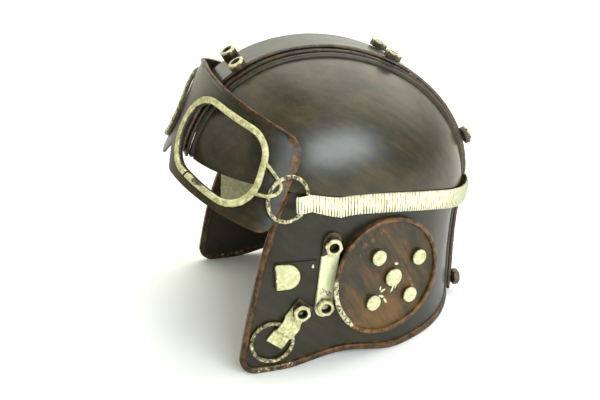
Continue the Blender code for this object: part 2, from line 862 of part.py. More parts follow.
def make_studs(side, prefix):
    centre, axis, up, back = disc_axes()
    face = DISC_HEIGHT - DISC_RIM_RISE + GAP
    for label, behind, above, radius in STUDS:
        place = centre + back * behind + up * above
        name = prefix + "_stud_" + label
        sections = turned(place, axis, up, radius, (face, face + STUD_HEIGHT), 16)
        finish(name, sweep(mirrored(sections, side)), cream_paint(name))


# Nuts, bars, plates and clips
def nut(name, centre, axis, way, material):
    """A six-sided nut with an open bore."""
    outer = turned(centre, axis, way, NUT_ACROSS_FLATS / math.sqrt(3.0), (0.0, NUT_HEIGHT), 12)
    for ring in outer:
        for k in range(1, 12, 2):
            ring[k] = 0.5 * (ring[k - 1] + ring[(k + 1) % 12])
    bore = turned(centre, axis, way, 0.5 * NUT_BORE, (0.0, NUT_HEIGHT), 12)
    bm = bmesh.new()
    rings = [outer[0], outer[1], bore[1], bore[0]]
    verts = [[bm.verts.new(p) for p in ring] for ring in rings]
    for k in range(4):
        here, there = verts[k], verts[(k + 1) % 4]
        for i in range(12):
            j = (i + 1) % 12
            bm.faces.new((here[i], here[j], there[j], there[i]))
    return finish(name, bm, material, 25.0)


def wall_nut(name, side, s, z, lift, turn):
    axis = wall_normal(s, z)
    along = (wall_point(s + 0.001, z) - wall_point(s, z)).normalized()
    up = axis.cross(along)
    way = along * math.cos(turn) + up * math.sin(turn)
    centre = wall_point(s, z, lift)
    flip = Vector((side, 1.0, 1.0))
    nut(name, centre * flip, axis * flip, way * flip, pale_gold(name))


def make_plate(name, side, outline, low, high, material, step=0.007):
    def place(s, z, lift):
        point = wall_point(s, z, lift)
        return Vector((point.x * side, point.y, point.z))

    us = [u for u, v in outline]
    vs = [v for u, v in outline]
    bm = sheet(outline, place, low, high,
               spread(min(us), max(us), step), spread(min(vs), max(vs), 4.0 * step))
    return finish(name, bm, material)


def capsule(first, last, half, beyond, steps=6):
    """Outline of a bar with round ends, round the line between two points."""
    a, b = Vector(first), Vector(last)
    along = (b - a).normalized()
    across = Vector((-along.y, along.x))
    points = []
    for centre, way in ((b, 1.0), (a, -1.0)):
        middle = centre + along * way * (beyond - half)
        for k in range(steps + 1):
            angle = math.pi * (k / steps - 0.5)
            arm = along * math.cos(angle) * way + across * math.sin(angle) * way
            points.append(tuple(middle + arm * half))
    return points


def make_bar(side, prefix):
    name = prefix + "_bar"
    outline = capsule(BAR_LOWER, BAR_UPPER, 0.5 * BAR_WIDTH, BAR_END)
    make_plate(name, side, outline, GAP, GAP + PLATE_SHEET, cream_paint(name))
    for label, (s, z) in (("upper", BAR_UPPER), ("lower", BAR_LOWER)):
        wall_nut(prefix + "_bar_nut_" + label, side, s, z, PLATE_SHEET + 2.0 * GAP, 0.3)


def make_tab(side, prefix):
    name = prefix + "_thin_plate"
    s0, s1 = THIN_PLATE_S
    z0, z1 = THIN_PLATE_Z
    outline = [(s0, z0), (s1, z0), (s1, z1), (s0, z1)]
    make_plate(name, side, outline, GAP, GAP + THIN_PLATE, copper_rub(name))
    name = prefix + "_half_round_tab"
    s0, s1 = TAB_S
    z0, z1 = TAB_Z
    radius = 0.5 * (z1 - z0)
    points = [(s0, z0), (s1 - radius, z0)]
    for k in range(1, 10):
        angle = math.pi * (k / 10 - 0.5)
        points.append((s1 - radius + radius * math.cos(angle), z0 + radius + radius * math.sin(angle)))
    points += [(s1 - radius, z1), (s0, z1)]
    base = 2.0 * GAP + THIN_PLATE
    make_plate(name, side, points, base, base + TAB_SHEET, cream_paint(name))


def make_clip(side, prefix):
    """The short strip that bridges the lower ring's wire, and its nut."""
    nut_place, end = Vector(CLIP_NUT), Vector(CLIP_END)
    along = (end - nut_place).normalized()
    across = Vector((-along.y, along.x)) * (0.5 * CLIP_WIDTH)
    crossing = (Vector(LOWER_RING_CENTRE) - nut_place).length - LOWER_RING_RADIUS
    last = (end - nut_place).length
    low, high = GAP, 2.0 * (WIRE_RADIUS + GAP)
    steps = [(-CLIP_BEYOND_NUT, low), (0.0, low), (crossing - CLIP_FLAT - CLIP_SLOPE, low),
             (crossing - CLIP_FLAT, high), (crossing, high), (crossing + CLIP_FLAT, high),
             (crossing + CLIP_FLAT + CLIP_SLOPE, low), (last, low)]
    sections = []
    for reach, lift in steps:
        middle = nut_place + along * reach
        left, right = middle - across, middle + across
        sections.append([wall_point(left.x, left.y, lift), wall_point(right.x, right.y, lift),
                         wall_point(right.x, right.y, lift + CLIP_SHEET),
                         wall_point(left.x, left.y, lift + CLIP_SHEET)])
    name = prefix + "_clip"
    finish(name, sweep(mirrored(sections, side)), pale_gold(name))
    wall_nut(prefix + "_clip_nut", side, nut_place.x, nut_place.y, low + CLIP_SHEET + GAP, 0.1)


def make_lower_ring(side, prefix):
    name = prefix + "_lower_ring"
    path = []
    for k in range(16):
        angle = 2.0 * math.pi * k / 16
        s = LOWER_RING_CENTRE[0] + LOWER_RING_RADIUS * math.cos(angle)
        z = LOWER_RING_CENTRE[1] + LOWER_RING_RADIUS * math.sin(angle)
        point = wall_point(s, z, WIRE_RADIUS + GAP)
        path.append(Vector((point.x * side, point.y, point.z)))
    finish(name, wire(path, WIRE_RADIUS, 6, True), pale_gold(name), 70.0)


def crest_nut(name, x, turn):
    before = crest_point(turn - 0.5, x, 0.0)
    after = crest_point(turn + 0.5, x, 0.0)
    along = (after - before).normalized()
    axis = Vector((0.0, -along.z, along.y))
    centre = crest_point(turn, x, -GAP)
    nut(name, centre, axis, along, pale_gold(name))


def make_crest_nuts():
    for label, turn in CREST_NUT_TURNS:
        for side, prefix in ((1.0, "left"), (-1.0, "right")):
            crest_nut(prefix + "_crest_nut_" + label, side * CREST_HALF_WIDTH, turn)


# Goggles
def mask_outline():
    """Flat outline of the mask's left half."""
    points = [(0.0, 0.0), MASK_TOP_END, MASK_LOW_END, (NOSE_NOTCH_HALF, MASK_HEIGHT),
              (0.0, MASK_HEIGHT - NOSE_NOTCH_RISE)]
    radii = [0.0, MASK_TOP_CORNER, MASK_LOW_CORNER, 0.005, 0.0]
    return round_corners(points, radii)


def frame_outline(inset):
    """Outline of the left goggle frame, at an inset from its outer edge."""
    ways = ((1.0, 1.0), (-1.0, 1.0), (-1.0, -1.0), (1.0, -1.0))
    points, radii = [], []
    for (s, t, radius), (in_s, in_t) in zip(FRAME_CORNERS, ways):
        points.append((s + in_s * inset, t + in_t * inset))
        radii.append(radius - inset)
    return round_corners(points, radii, 8)


def eye_centre():
    return (sum(corner[0] for corner in FRAME_CORNERS) / 4.0,
            sum(corner[1] for corner in FRAME_CORNERS) / 4.0)


def ray_hit(outline, angle):
    """Where a line from the eye's centre at an angle meets a flat outline."""
    s0, t0 = eye_centre()
    ds, dt = math.cos(angle), math.sin(angle)
    best = None
    for i, (s1, t1) in enumerate(outline):
        s2, t2 = outline[(i + 1) % len(outline)]
        down = ds * (t1 - t2) - dt * (s1 - s2)
        if abs(down) < 1.0e-12:
            continue
        reach = ((s1 - s0) * (t1 - t2) - (t1 - t0) * (s1 - s2)) / down
        share = (ds * (t1 - t0) - dt * (s1 - s0)) / down
        if reach > 0.0 and -1.0e-7 <= share <= 1.0 + 1.0e-7 and (best is None or reach < best):
            best = reach
    return s0 + ds * best, t0 + dt * best


def eye_angles():
    """Even directions round the eye, with those of the nose's corners among them."""
    s0, t0 = eye_centre()
    special = [math.atan2(t - t0, s - s0) for s, t in (
        (0.0, 0.0), (0.0, MASK_HEIGHT - NOSE_NOTCH_RISE), (NOSE_NOTCH_HALF, MASK_HEIGHT))]
    step = 2.0 * math.pi / EYE_STEPS
    angles = [angle for angle in (-math.pi + step * i for i in range(EYE_STEPS))
              if all(abs(angle - other) > 0.4 * step for other in special)]
    return sorted(angles + special)


def make_mask():
    """The bent sheet: rows of points run from its edge in to each eye opening."""
    edge, hole = mask_outline(), frame_outline(FRAME_WIDTH)
    slope = MASK_TOP_END[1] / MASK_TOP_END[0]
    bm = bmesh.new()
    for side in (1.0, -1.0):
        grids = {"out": [], "in": []}
        for angle in eye_angles():
            outer, inner = Vector(ray_hit(edge, angle)), Vector(ray_hit(hole, angle))
            span = (inner - outer).length
            lip = MASK_LIP_PROUD * blend(0.004, 0.001, outer.y - abs(outer.x) * slope)
            rows = [(0.0, lip), (MASK_LIP / span, lip), ((MASK_LIP + 0.001) / span, 0.0),
                    (0.62, 0.0), (1.0, 0.0)]
            for key, base in (("out", 0.0), ("in", -MASK_SHEET)):
                line = []
                for share, proud in rows:
                    place = outer.lerp(inner, share)
                    lift = base + proud if key == "out" else base
                    line.append(bm.verts.new(mask_point(side * max(0.0, place.x), place.y, lift)))
                grids[key].append(line)
        out, low = grids["out"], grids["in"]
        for i in range(len(out)):
            j = (i + 1) % len(out)
            for r in range(len(out[0]) - 1):
                bm.faces.new((out[i][r], out[j][r], out[j][r + 1], out[i][r + 1]))
                bm.faces.new((low[i][r], low[i][r + 1], low[j][r + 1], low[j][r]))
            bm.faces.new((out[i][-1], out[j][-1], low[j][-1], low[i][-1]))
            on_middle = abs(out[i][0].co.x) < 1.0e-6 and abs(out[j][0].co.x) < 1.0e-6
            if not on_middle:
                bm.faces.new((out[i][0], low[i][0], low[j][0], out[j][0]))
    bmesh.ops.remove_doubles(bm, verts=bm.verts, dist=1.0e-5)
    return finish("goggle_mask", bm, dark_lacquer("goggle_mask"))


def make_frame(side, prefix):
    """The flat bar round one eye opening, with the wire link soldered to its rear side."""
    rows = ((0.0, GAP), (FRAME_WIDTH, GAP), (FRAME_WIDTH, FRAME_PROUD - FRAME_BEVEL),
            (FRAME_WIDTH - FRAME_BEVEL, FRAME_PROUD), (FRAME_BEVEL, FRAME_PROUD),
            (0.0, FRAME_PROUD - FRAME_BEVEL))
    outlines = [frame_outline(inset) for inset, lift in rows]
    sections = []
    for angle in eye_angles():
        section = []
        for outline, (inset, lift) in zip(outlines, rows):
            s, t = ray_hit(outline, angle)
            section.append(mask_point(side * s, t, lift))
        sections.append(section)
    name = prefix + "_goggle_frame"
    frame = finish(name, sweep(sections, True), pale_gold(name))
    path = [mask_point(side * s, t, lift) for s, t, lift in LINK_PATH]
    link = finish(prefix + "_link", wire(path, LINK_WIRE_RADIUS, 6), pale_gold(prefix + "_link"), 70.0)
    return joined(frame, [link], "link")


# Strap and its rings
def strap_ring_frame():
    """Centre of the left strap ring, with its forward, upward and outward axes."""
    centre = mask_point(*STRAP_RING_ON_MASK)
    outward = Vector((1.0, STRAP_RING_SLANT, STRAP_RING_LEAN)).normalized()
    forward = Vector((0.0, -1.0, 0.0))
    forward = (forward - outward * forward.dot(outward)).normalized()
    upward = forward.cross(outward)
    if upward.z < 0.0:
        upward = -upward
    return centre, forward, upward, outward


def make_strap_ring(side, prefix):
    centre, forward, upward, outward = strap_ring_frame()
    path = []
    for k in range(16):
        angle = 2.0 * math.pi * (k + 0.5) / 16
        point = centre + (forward * math.cos(angle) + upward * math.sin(angle)) * STRAP_RING_RADIUS
        path.append(Vector((point.x * side, point.y, point.z)))
    name = prefix + "_strap_ring"
    finish(name, wire(path, WIRE_RADIUS, 6, True), pale_gold(name), 70.0)


def strap_loop_sections():
    """The strap's end: an inner layer, a turn round the ring's rear wire and an outer layer."""
    centre, forward, upward, outward = strap_ring_frame()
    near = WIRE_RADIUS + GAP
    far = near + STRAP_LAYER
    bend = STRAP_LOOP_FRONT - far
    places = [(STRAP_LOOP_BACK, -near, STRAP_LOOP_BACK, -far), (bend, -near, bend, -far)]
    for k in range(1, 6):
        angle = math.pi * (k / 6 - 0.5)
        places.append((bend + near * math.cos(angle), near * math.sin(angle),
                       bend + far * math.cos(angle), far * math.sin(angle)))
    places += [(bend, near, bend, far), (STRAP_LOOP_BACK, near, STRAP_LOOP_BACK, far)]
    low = STRAP_LOOP_LOW - 0.5 * STRAP_LOOP_WIDTH
    high = STRAP_LOOP_LOW + 0.5 * STRAP_LOOP_WIDTH
    sections = []
    for near_way, near_out, far_way, far_out in places:
        inner = centre + forward * near_way + outward * near_out
        outer = centre + forward * far_way + outward * far_out
        top = high - STRAP_TAIL_CUT * blend(-0.5 * near, -near, near_out)
        sections.append([inner + upward * low, inner + upward * top,
                         outer + upward * top, outer + upward * low])
    return sections


def strap_wall_section(s):
    """The strap's section where it lies round the panel, and over the beads and the crest."""
    y = wall_skin(s, DOME_EDGE_SIDE_Z).y
    below = mix(STRAP_BELOW_EDGE_FRONT, STRAP_BELOW_EDGE, blend(0.0, STRAP_LIFT_START, s))
    centre_z = dome_edge_z(y) - below - 0.5 * STRAP_WIDTH
    centre_z += STRAP_NAPE_RISE * blend(STRAP_CLIMB_START, STRAP_LIFT_END, s)
    crest_stand = WALL_UNDER_CREST + WALL_HALF_WIDTH_TOP - math.sqrt(
        WALL_HALF_WIDTH_TOP ** 2 - CREST_HALF_WIDTH ** 2)
    lift = GAP + (crest_stand + GAP) * blend(STRAP_LIFT_START, STRAP_LIFT_END, s)
    section = []
    for up, out in ((-0.5, lift), (0.5, lift), (0.5, lift + STRAP_SHEET), (-0.5, lift + STRAP_SHEET)):
        z = centre_z + up * STRAP_WIDTH
        point = wall_point(s, z, out)
        straight = SHELL_Y + CREST_REACH_BACK + GAP + out - lift
        share = blend(CREST_HALF_WIDTH + 0.006, CREST_HALF_WIDTH, point.x)
        point.y = mix(point.y, max(point.y, straight), share)
        section.append(point)
    return section


def make_strap():
    loop = strap_loop_sections()
    middle = 0.5 * math.pi * (CREST_REACH_BACK - WALL_UNDER_CREST)
    along = [strap_wall_section(mix(STRAP_JOIN_S, middle, i / 18)) for i in range(19)]
    for point in along[-1]:
        point.x = 0.0
    half = loop[:]
    for k in range(1, 6):
        down, into = min(1.0, k / 4), blend(0.25, 1.0, k / 6)
        half.append([Vector((mix(a.x, b.x, into), mix(a.y, b.y, k / 6), mix(a.z, b.z, down)))
                     for a, b in zip(loop[-1], along[0])])
    half += along
    other = [[Vector((-p.x, p.y, p.z)) for p in section] for section in reversed(half[:-1])]
    return finish("strap", sweep(half + other), cream_paint("strap"))


def settle():
    """Put the origin at the middle of the footprint's box, on the ground."""
    low, high = Vector((9.0, 9.0, 9.0)), Vector((-9.0, -9.0, -9.0))
    shown = [thing for thing in bpy.data.objects if thing.type == "MESH"]
    for thing in shown:
        for vert in thing.data.vertices:
            for axis in range(3):
                low[axis] = min(low[axis], vert.co[axis])
                high[axis] = max(high[axis], vert.co[axis])
    shift = Vector((-0.5 * (low.x + high.x), -0.5 * (low.y + high.y), -low.z))
    for thing in shown:
        for vert in thing.data.vertices:
            vert.co += shift


def main():
    clear_scene()
    make_centre_band()
    make_crest_strip()
    for side, prefix in ((1.0, "left"), (-1.0, "right")):
        make_dome(side, prefix + "_dome")
        make_seam_bead(side, prefix + "_seam_bead")
        make_panel(side, prefix + "_ear_panel")
        make_ear_disc(side, prefix + "_ear_disc")
        make_studs(side, prefix)
        make_bar(side, prefix)
        make_tab(side, prefix)
        make_clip(side, prefix)
        make_lower_ring(side, prefix)
        make_frame(side, prefix)
        make_strap_ring(side, prefix)
    make_crest_nuts()
    make_mask()
    make_strap()
    settle()


main()
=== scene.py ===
"""Looks of the flight helmet: detailed sheet metal, paint, wire, webbing, camera and light."""
import math

import bmesh
import bpy
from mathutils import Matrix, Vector, kdtree, noise


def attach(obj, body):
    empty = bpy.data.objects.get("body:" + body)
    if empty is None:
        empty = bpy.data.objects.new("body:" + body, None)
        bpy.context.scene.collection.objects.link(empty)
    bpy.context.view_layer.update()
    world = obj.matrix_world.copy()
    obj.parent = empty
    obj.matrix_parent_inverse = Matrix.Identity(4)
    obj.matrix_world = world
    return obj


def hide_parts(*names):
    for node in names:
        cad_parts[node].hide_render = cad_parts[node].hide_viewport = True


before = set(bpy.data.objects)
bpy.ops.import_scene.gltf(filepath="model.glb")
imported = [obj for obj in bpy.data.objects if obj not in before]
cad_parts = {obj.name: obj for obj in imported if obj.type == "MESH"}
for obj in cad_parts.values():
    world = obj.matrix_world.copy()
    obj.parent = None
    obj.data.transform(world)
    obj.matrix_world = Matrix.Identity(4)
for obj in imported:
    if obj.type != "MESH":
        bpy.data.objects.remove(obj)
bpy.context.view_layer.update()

# From the surfaces' own axes to the frame, where the model stands centred
SHIFT = Vector((0.0, 0.0104226, 0.0))

# Shell: its widest level, and its reach from there
SHELL_Y = -0.022
WIDEST_Z = 0.1234
CREST_RISE = 0.1244
CREST_REACH_FRONT = 0.117
CREST_REACH_BACK = 0.142
FRONT_ROUNDNESS = 2.22
BACK_ROUNDNESS = 1.86
SIDE_ROUNDNESS = 2.0
BACK_TAPER = 0.006
BACK_TAPER_DEPTH = 0.075

# Side domes
DOME_CENTRE = Vector((0.0, SHELL_Y, WIDEST_Z))
DOME_HALF_WIDTH = 0.103
DOME_DEPTH_UNDER_CREST = 0.0040
DOME_SHEET = 0.0016
DOME_FRONT_CORNER = 0.003
DOME_BACK_CORNER = 0.012
BROW_CENTRE_Z = 0.165
DOME_EDGE_SIDE_Z = 0.150
DOME_EDGE_BACK_DROP = 0.036
DOME_COLUMNS = 110
DOME_ROWS = 36

# Centre band, crest strip and seam beads
CREST_HALF_WIDTH = 0.0177
CREST_SHEET = 0.0026
BAND_HALF_WIDTH = 0.0225
BAND_SHEET = 0.0026
BEAD_RADIUS = 0.0022
NAPE_Z = 0.004
SHELL_STEPS = 150
BAND_BROW_LIP = 0.002
STRIP_STEPS = 190
STRIP_ROWS = 18
BEAD_STEPS = 260

# Columns: place along the crest, turn round the shell in degrees
CREST_NUT_TURNS = (
    ("front", 60.5),
    ("top_back", 119.5),
    ("back", 163.5),
    ("nape", 260.0),
)

# Ear and neck panels
WALL_HALF_WIDTH_TOP = 0.0955
WALL_HALF_WIDTH_BOTTOM = 0.1010
WALL_UNDER_CREST = 0.0065
WALL_SHEET = 0.0016
TOE_IN_START_Z = 0.060
FLAP_FRONT_REACH = 0.087
FLAP_SLOPE = 0.28
FLAP_BOW = 0.005
FLAP_CORNER = 0.014
PANEL_TUCK = 0.005
TOP_SLIT = 0.0018
TUCK_START_S = -0.020
TUCK_FULL_S = 0.020
ARCH_RISE = 0.009
ARCH_START = -0.052
ARCH_END = 0.060
NAPE_RISE_START = 0.125
RIM_WIDTH = 0.0055
RIM_PROUD = 0.0026
RIM_BACK = 0.0021
RIM_BEVEL = 0.0011
FLAP_STEPS = 44
CORNER_STEPS = 14
BOTTOM_STEPS = 90
PANEL_ROWS = 30
# Share of the top edge that the columns of the flap's front and corner run to
FLAP_SHARE = 0.22

# Ear disc
DISC_S = 0.0415
DISC_Z = 0.0722
DISC_RADIUS = 0.051
DISC_YAW = 15.0
DISC_TILT = 3.0
DISC_HEIGHT = 0.0064
DISC_UNDERCUT = 0.0085
DISC_RIM_WIDTH = 0.0038
DISC_RIM_RISE = 0.0026
DISC_RIM_ROUND = 0.0015
DISC_SHEET = 0.0015
DISC_SIDES = 144
DISC_ROWS = 84
STUD_HEIGHT = 0.0036
STUD_SIDES = 48
# Columns: place, distance back from the disc's centre, distance up, radius
STUDS = (
    ("centre", 0.0053, -0.0019, 0.0078),
    ("front_top", -0.0089, 0.0196, 0.0068),
    ("back_top", 0.0310, 0.0099, 0.0068),
    ("front_low", -0.0145, -0.0195, 0.0068),
    ("back_low", 0.0220, -0.0222, 0.0068),
)

# Columns: share of the radius, share of the height
STUD_PROFILE = ((0.0, 0.0), (1.0, 0.0), (1.0, 0.55), (0.985, 0.80), (0.93, 0.95), (0.84, 1.0),
                (0.66, 1.0), (0.45, 1.0), (0.22, 1.0), (0.0, 1.0))

# Nuts and screw plates
NUT_ACROSS_FLATS = 0.013
NUT_HEIGHT = 0.0060
NUT_BORE = 0.0070
NUT_SIDES = 48
NUT_FALL = 0.55
THREAD_PITCH = 0.00055
THREAD_DEPTH = 0.00035
PLATE_SHEET = 0.0026
BAR_WIDTH = 0.0146
BAR_UPPER = (-0.0071, 0.1083)
BAR_LOWER = (-0.0138, 0.0554)
BAR_END = 0.0106
BAR_CLEAR_S = 0.0060
THIN_PLATE = 0.0010
THIN_PLATE_S = (-0.0515, -0.0192)
THIN_PLATE_Z = (0.0748, 0.0958)
FLECK = (-0.0226, 0.0905)
TAB_S = (-0.0537, -0.0335)
TAB_Z = (0.0742, 0.0948)
TAB_SHEET = 0.0028
CLIP_NUT = (-0.0333, 0.0529)
CLIP_END = (-0.0559, 0.0246)
CLIP_BEYOND_NUT = 0.0080
CLIP_WIDTH = 0.0160
CLIP_SHEET = 0.0018
CLIP_FLAT = 0.0045
CLIP_SLOPE = 0.0040
CLIP_STEPS = 44
CLIP_ROWS = 14
PLATE_BEVEL = 0.0007
OUTLINE_STEP = 0.0012

# Wire parts
LOWER_RING_CENTRE = (-0.0574, 0.0272)
LOWER_RING_RADIUS = 0.0172
WIRE_RADIUS = 0.0016
RING_STEPS = 90
STRAP_RING_RADIUS = 0.0176
STRAP_RING_ON_MASK = (0.13217, 0.05651, 0.00265)
STRAP_RING_SLANT = 0.30
STRAP_RING_LEAN = 0.10
LINK_WIRE_RADIUS = 0.0013

# Goggle mask
MASK_TOP_Y = -0.108
MASK_TOP_Z = 0.235
MASK_LEAN = 24.8
MASK_HALF_WIDTH = 0.098
MASK_DEPTH = 0.081
MASK_WIDENING = 0.036
MASK_HEIGHT = 0.090
MASK_SHEET = 0.0018
MASK_STEPS = 160
MASK_RAYS = 170
MASK_ROWS = 12
MASK_TOP_END = (0.1365, 0.0135)
MASK_LOW_END = (0.1255, 0.0860)
MASK_TOP_CORNER = 0.016
MASK_LOW_CORNER = 0.012
NOSE_NOTCH_HALF = 0.016
NOSE_NOTCH_RISE = 0.0165
MASK_LIP = 0.0036
MASK_LIP_PROUD = 0.0012
FRAME_WIDTH = 0.0050
FRAME_PROUD = 0.0042
FRAME_CHAMFER = 0.0011
FRAME_RAYS = 230
LINK_STEPS = 84
# Corners of the goggle frame: distance from the nose, distance from the mask's top, radius
FRAME_CORNERS = (
    (0.0125, 0.0135, 0.0380),
    (0.1095, 0.0195, 0.0200),
    (0.1105, 0.0825, 0.0300),
    (0.0125, 0.0805, 0.0280),
)

# Columns of the link's path on the mask: distance from the nose, distance down, lift
LINK_PATH = (
    (0.1073, 0.0382, 0.0025),
    (0.1146, 0.0422, 0.0036),
    (0.1221, 0.0477, 0.0062),
    (0.1238, 0.0514, 0.0088),
    (0.1223, 0.0557, 0.0118),
    (0.1182, 0.0597, 0.0139),
    (0.1125, 0.0613, 0.0090),
    (0.1031, 0.0626, 0.0025),
)

# Strap
STRAP_WIDTH = 0.0170
STRAP_SHEET = 0.0022
STRAP_BELOW_EDGE = 0.0030
STRAP_BELOW_EDGE_FRONT = 0.0016
STRAP_NAPE_RISE = 0.004
STRAP_LAYER = 0.0012
STRAP_LOOP_WIDTH = 0.0140
STRAP_LOOP_LOW = -0.0066
STRAP_LOOP_FRONT = -0.0068
STRAP_LOOP_BACK = -0.0196
STRAP_JOIN_S = 0.012
STRAP_TAIL_CUT = 0.0034
STRAP_LIFT_START = 0.085
STRAP_CLIMB_START = 0.125
STRAP_LIFT_END = 0.176
STRAP_SECTIONS = 18
RIB_PITCH = 0.0026
STEPS_PER_RIB = 8

# Cream daubs on the disc: back and up from its centre, half length, tilt in degrees
DISC_DAUBS = (
    (-0.0035, -0.0125, 0.0024, 20.0),
    (0.0060, -0.0135, 0.0030, 62.0),
    (0.0100, -0.0105, 0.0034, 66.0),
    (-0.0050, -0.0175, 0.0030, -30.0),
    (-0.0010, -0.0225, 0.0026, -62.0),
    (0.0100, 0.0085, 0.0020, -20.0),
    (-0.0060, -0.0100, 0.0018, 80.0),
)

# Cut and bare scar in the goggle frame, in degrees round the eye's centre
FRAME_CUT_BEARING = 118.0
FRAME_SCAR_BEARING = 92.0

# What all pieces share
GAP = 0.0003
STEP = 1.0e-4
SEAM_X = BAND_HALF_WIDTH + 2.0 * (BEAD_RADIUS + GAP)
SHEET_BEVEL = 0.0005
SHARP_ANGLE = math.radians(38.0)
FAR_FROM_EDGE = 0.05
SIDES = ((1.0, "left"), (-1.0, "right"))

# Colours of lacquer and bare metal
BLACK = (0.006, 0.005, 0.004)
PALE_STROKE = (0.070, 0.055, 0.025)
# Pale tint for the painted sheen on the mask's top near the nose
PAINTED_SHEEN_TINT = (0.40, 0.39, 0.29)
PALE_SPECK = (0.34, 0.28, 0.19)
DARK_COPPER = (0.040, 0.021, 0.009)
COPPER = (0.160, 0.072, 0.024)
BARE_METAL = (0.034, 0.023, 0.013)
RUST = (0.140, 0.068, 0.026)

# Colours of gold and cream paint
DULL_CREAM = (0.60, 0.56, 0.30)
CREAM = (0.82, 0.80, 0.54)
BROWN_GOLD = (0.24, 0.17, 0.06)
STAIN = (0.110, 0.078, 0.026)

# Colours of the strap
WEB_LIGHT = (0.86, 0.85, 0.67)
WEB_MID = (0.68, 0.64, 0.38)
# Painted shade in the grooves between the ribs
WEB_GROOVE_SHADE = (0.46, 0.42, 0.24)
# Painted shade towards the back of the strap
WEB_REAR_SHADE = (0.40, 0.40, 0.25)
WEB_DARK_BROWN = (0.055, 0.025, 0.010)
WEB_BROWN = (0.170, 0.080, 0.030)

# Camera and floor: the bearing runs from the front (0) to the left (90)
CAMERA_AZIMUTH = 75.049
CAMERA_ELEVATION = 25.0
CAMERA_LENS = 55.31
CAMERA_TARGET = Vector((0.0, -0.02897, 0.10263))
CAMERA_DISTANCE = 0.81532
FLOOR_HALF = 16.0

# Light. Columns: name, bearing, elevation, distance, size, power, colour
LIGHTS = (
    ("overhead", 205.0, 56.0, 1.9, (2.5, 2.5), 38.0, (1.0, 1.0, 0.93)),
    ("front", 355.0, 46.0, 1.8, (1.7, 1.7), 6.0, (1.0, 1.0, 0.90)),
    ("window", 108.0, 31.0, 1.6, (1.2, 0.50), 22.0, (0.84, 0.94, 1.0)),
)
LIGHT_TARGET = Vector((0.0, 0.0, 0.1))
SKY_BRIGHT_WAY = (-0.78, 0.20, 0.42)
SKY_DIM = (0.30, 0.29, 0.24)
SKY_BRIGHT = (1.30, 1.30, 1.15)


def blend(a, b, x):
    """Smooth step from 0 at a to 1 at b."""
    u = min(1.0, max(0.0, (x - a) / (b - a)))
    return u * u * (3.0 - 2.0 * u)


def mix(a, b, u):
    return a + (b - a) * u


def halve(low, high, is_low, steps=40):
    """The place between two limits where is_low stops being true."""
    for _ in range(steps):
        middle = 0.5 * (low + high)
        if is_low(middle):
            low = middle
        else:
            high = middle
    return 0.5 * (low + high)


def turns(count):
    """Even directions all the way round, in radians."""
    return [2.0 * math.pi * k / count for k in range(count)]


def mirrored(point, side):
    """A point of the left side (side 1) or its mirror image (side -1), and the other way round."""
    return Vector((point.x * side, point.y, point.z))


# Profiles and surfaces
def back_reach(z):
    """Reach of the crest behind the shell's centre, at height z."""
    under = min(1.0, max(0.0, (WIDEST_Z - z) / BACK_TAPER_DEPTH))
    return CREST_REACH_BACK - BACK_TAPER * math.sin(0.5 * math.pi * under)


def profile(turn, rise, front, back):
    """Side outline of the shell: turn 0 is the front level, 90 the top, 180 the back level."""
    angle = math.radians(turn)
    if turn <= 90.0:
        power = 2.0 / FRONT_ROUNDNESS
        reach = -front * math.cos(angle) ** power
        return SHELL_Y + reach, WIDEST_Z + rise * math.sin(angle) ** power
    power = 2.0 / BACK_ROUNDNESS
    lift = max(0.0, math.sin(angle))
    reach = back * abs(math.cos(angle)) ** power
    return SHELL_Y + reach, WIDEST_Z + rise * lift ** power


def crest_line(turn):
    """Outer face of the crest strip; past 180 it runs straight down the back to the nape."""
    if turn <= 180.0:
        return profile(turn, CREST_RISE, CREST_REACH_FRONT, CREST_REACH_BACK)
    z = WIDEST_Z * (1.0 - (turn - 180.0) / 90.0)
    return SHELL_Y + back_reach(z), z


def crest_point(turn, x, depth):
    """A point under the crest's outer face by the given depth."""
    y0, z0 = crest_line(turn - 0.05)
    y1, z1 = crest_line(turn + 0.05)
    along = Vector((0.0, y1 - y0, z1 - z0)).normalized()
    outward = Vector((0.0, -along.z, along.y))
    y, z = crest_line(turn)
    return Vector((x, y, z)) + outward * -depth


def crest_turn_at(z, front):
    """The turn at which the crest line reaches height z, on its front or its back."""
    low, high = (1.0, 89.0) if front else (91.0, 269.0)
    return halve(low, high, lambda turn: (crest_line(turn)[1] < z) == front, 50)


def dome_measure(v):
    """1 on the dome's outer face, measured from the shell's centre."""
    rise = CREST_RISE - DOME_DEPTH_UNDER_CREST
    if v.y <= 0.0:
        power = FRONT_ROUNDNESS
        reach = CREST_REACH_FRONT - DOME_DEPTH_UNDER_CREST
    else:
        power = BACK_ROUNDNESS
        reach = CREST_REACH_BACK - DOME_DEPTH_UNDER_CREST
    side = (abs(v.y) / reach) ** power + (abs(v.z) / rise) ** power
    return (side ** (SIDE_ROUNDNESS / power) + (abs(v.x) / DOME_HALF_WIDTH) ** SIDE_ROUNDNESS) ** (
        1.0 / SIDE_ROUNDNESS)


def onto_dome(point):
    """The point moved straight out from the shell's centre to the dome's outer face."""
    v = point - DOME_CENTRE
    return DOME_CENTRE + v / dome_measure(v)


def dome_normal(point):
    v = point - DOME_CENTRE
    base = dome_measure(v)
    slope = []
    for axis in range(3):
        moved = v.copy()
        moved[axis] += STEP
        slope.append((dome_measure(moved) - base) / STEP)
    return Vector(slope).normalized()


def dome_edge_z(y):
    """Height of the dome's lower edge: brow in front, falling towards the nape."""
    if y < SHELL_Y:
        share = (SHELL_Y - y) / (CREST_REACH_FRONT - DOME_DEPTH_UNDER_CREST)
        return mix(DOME_EDGE_SIDE_Z, BROW_CENTRE_Z, min(1.0, share))
    share = (y - SHELL_Y) / CREST_REACH_BACK
    return DOME_EDGE_SIDE_Z - DOME_EDGE_BACK_DROP * share * share


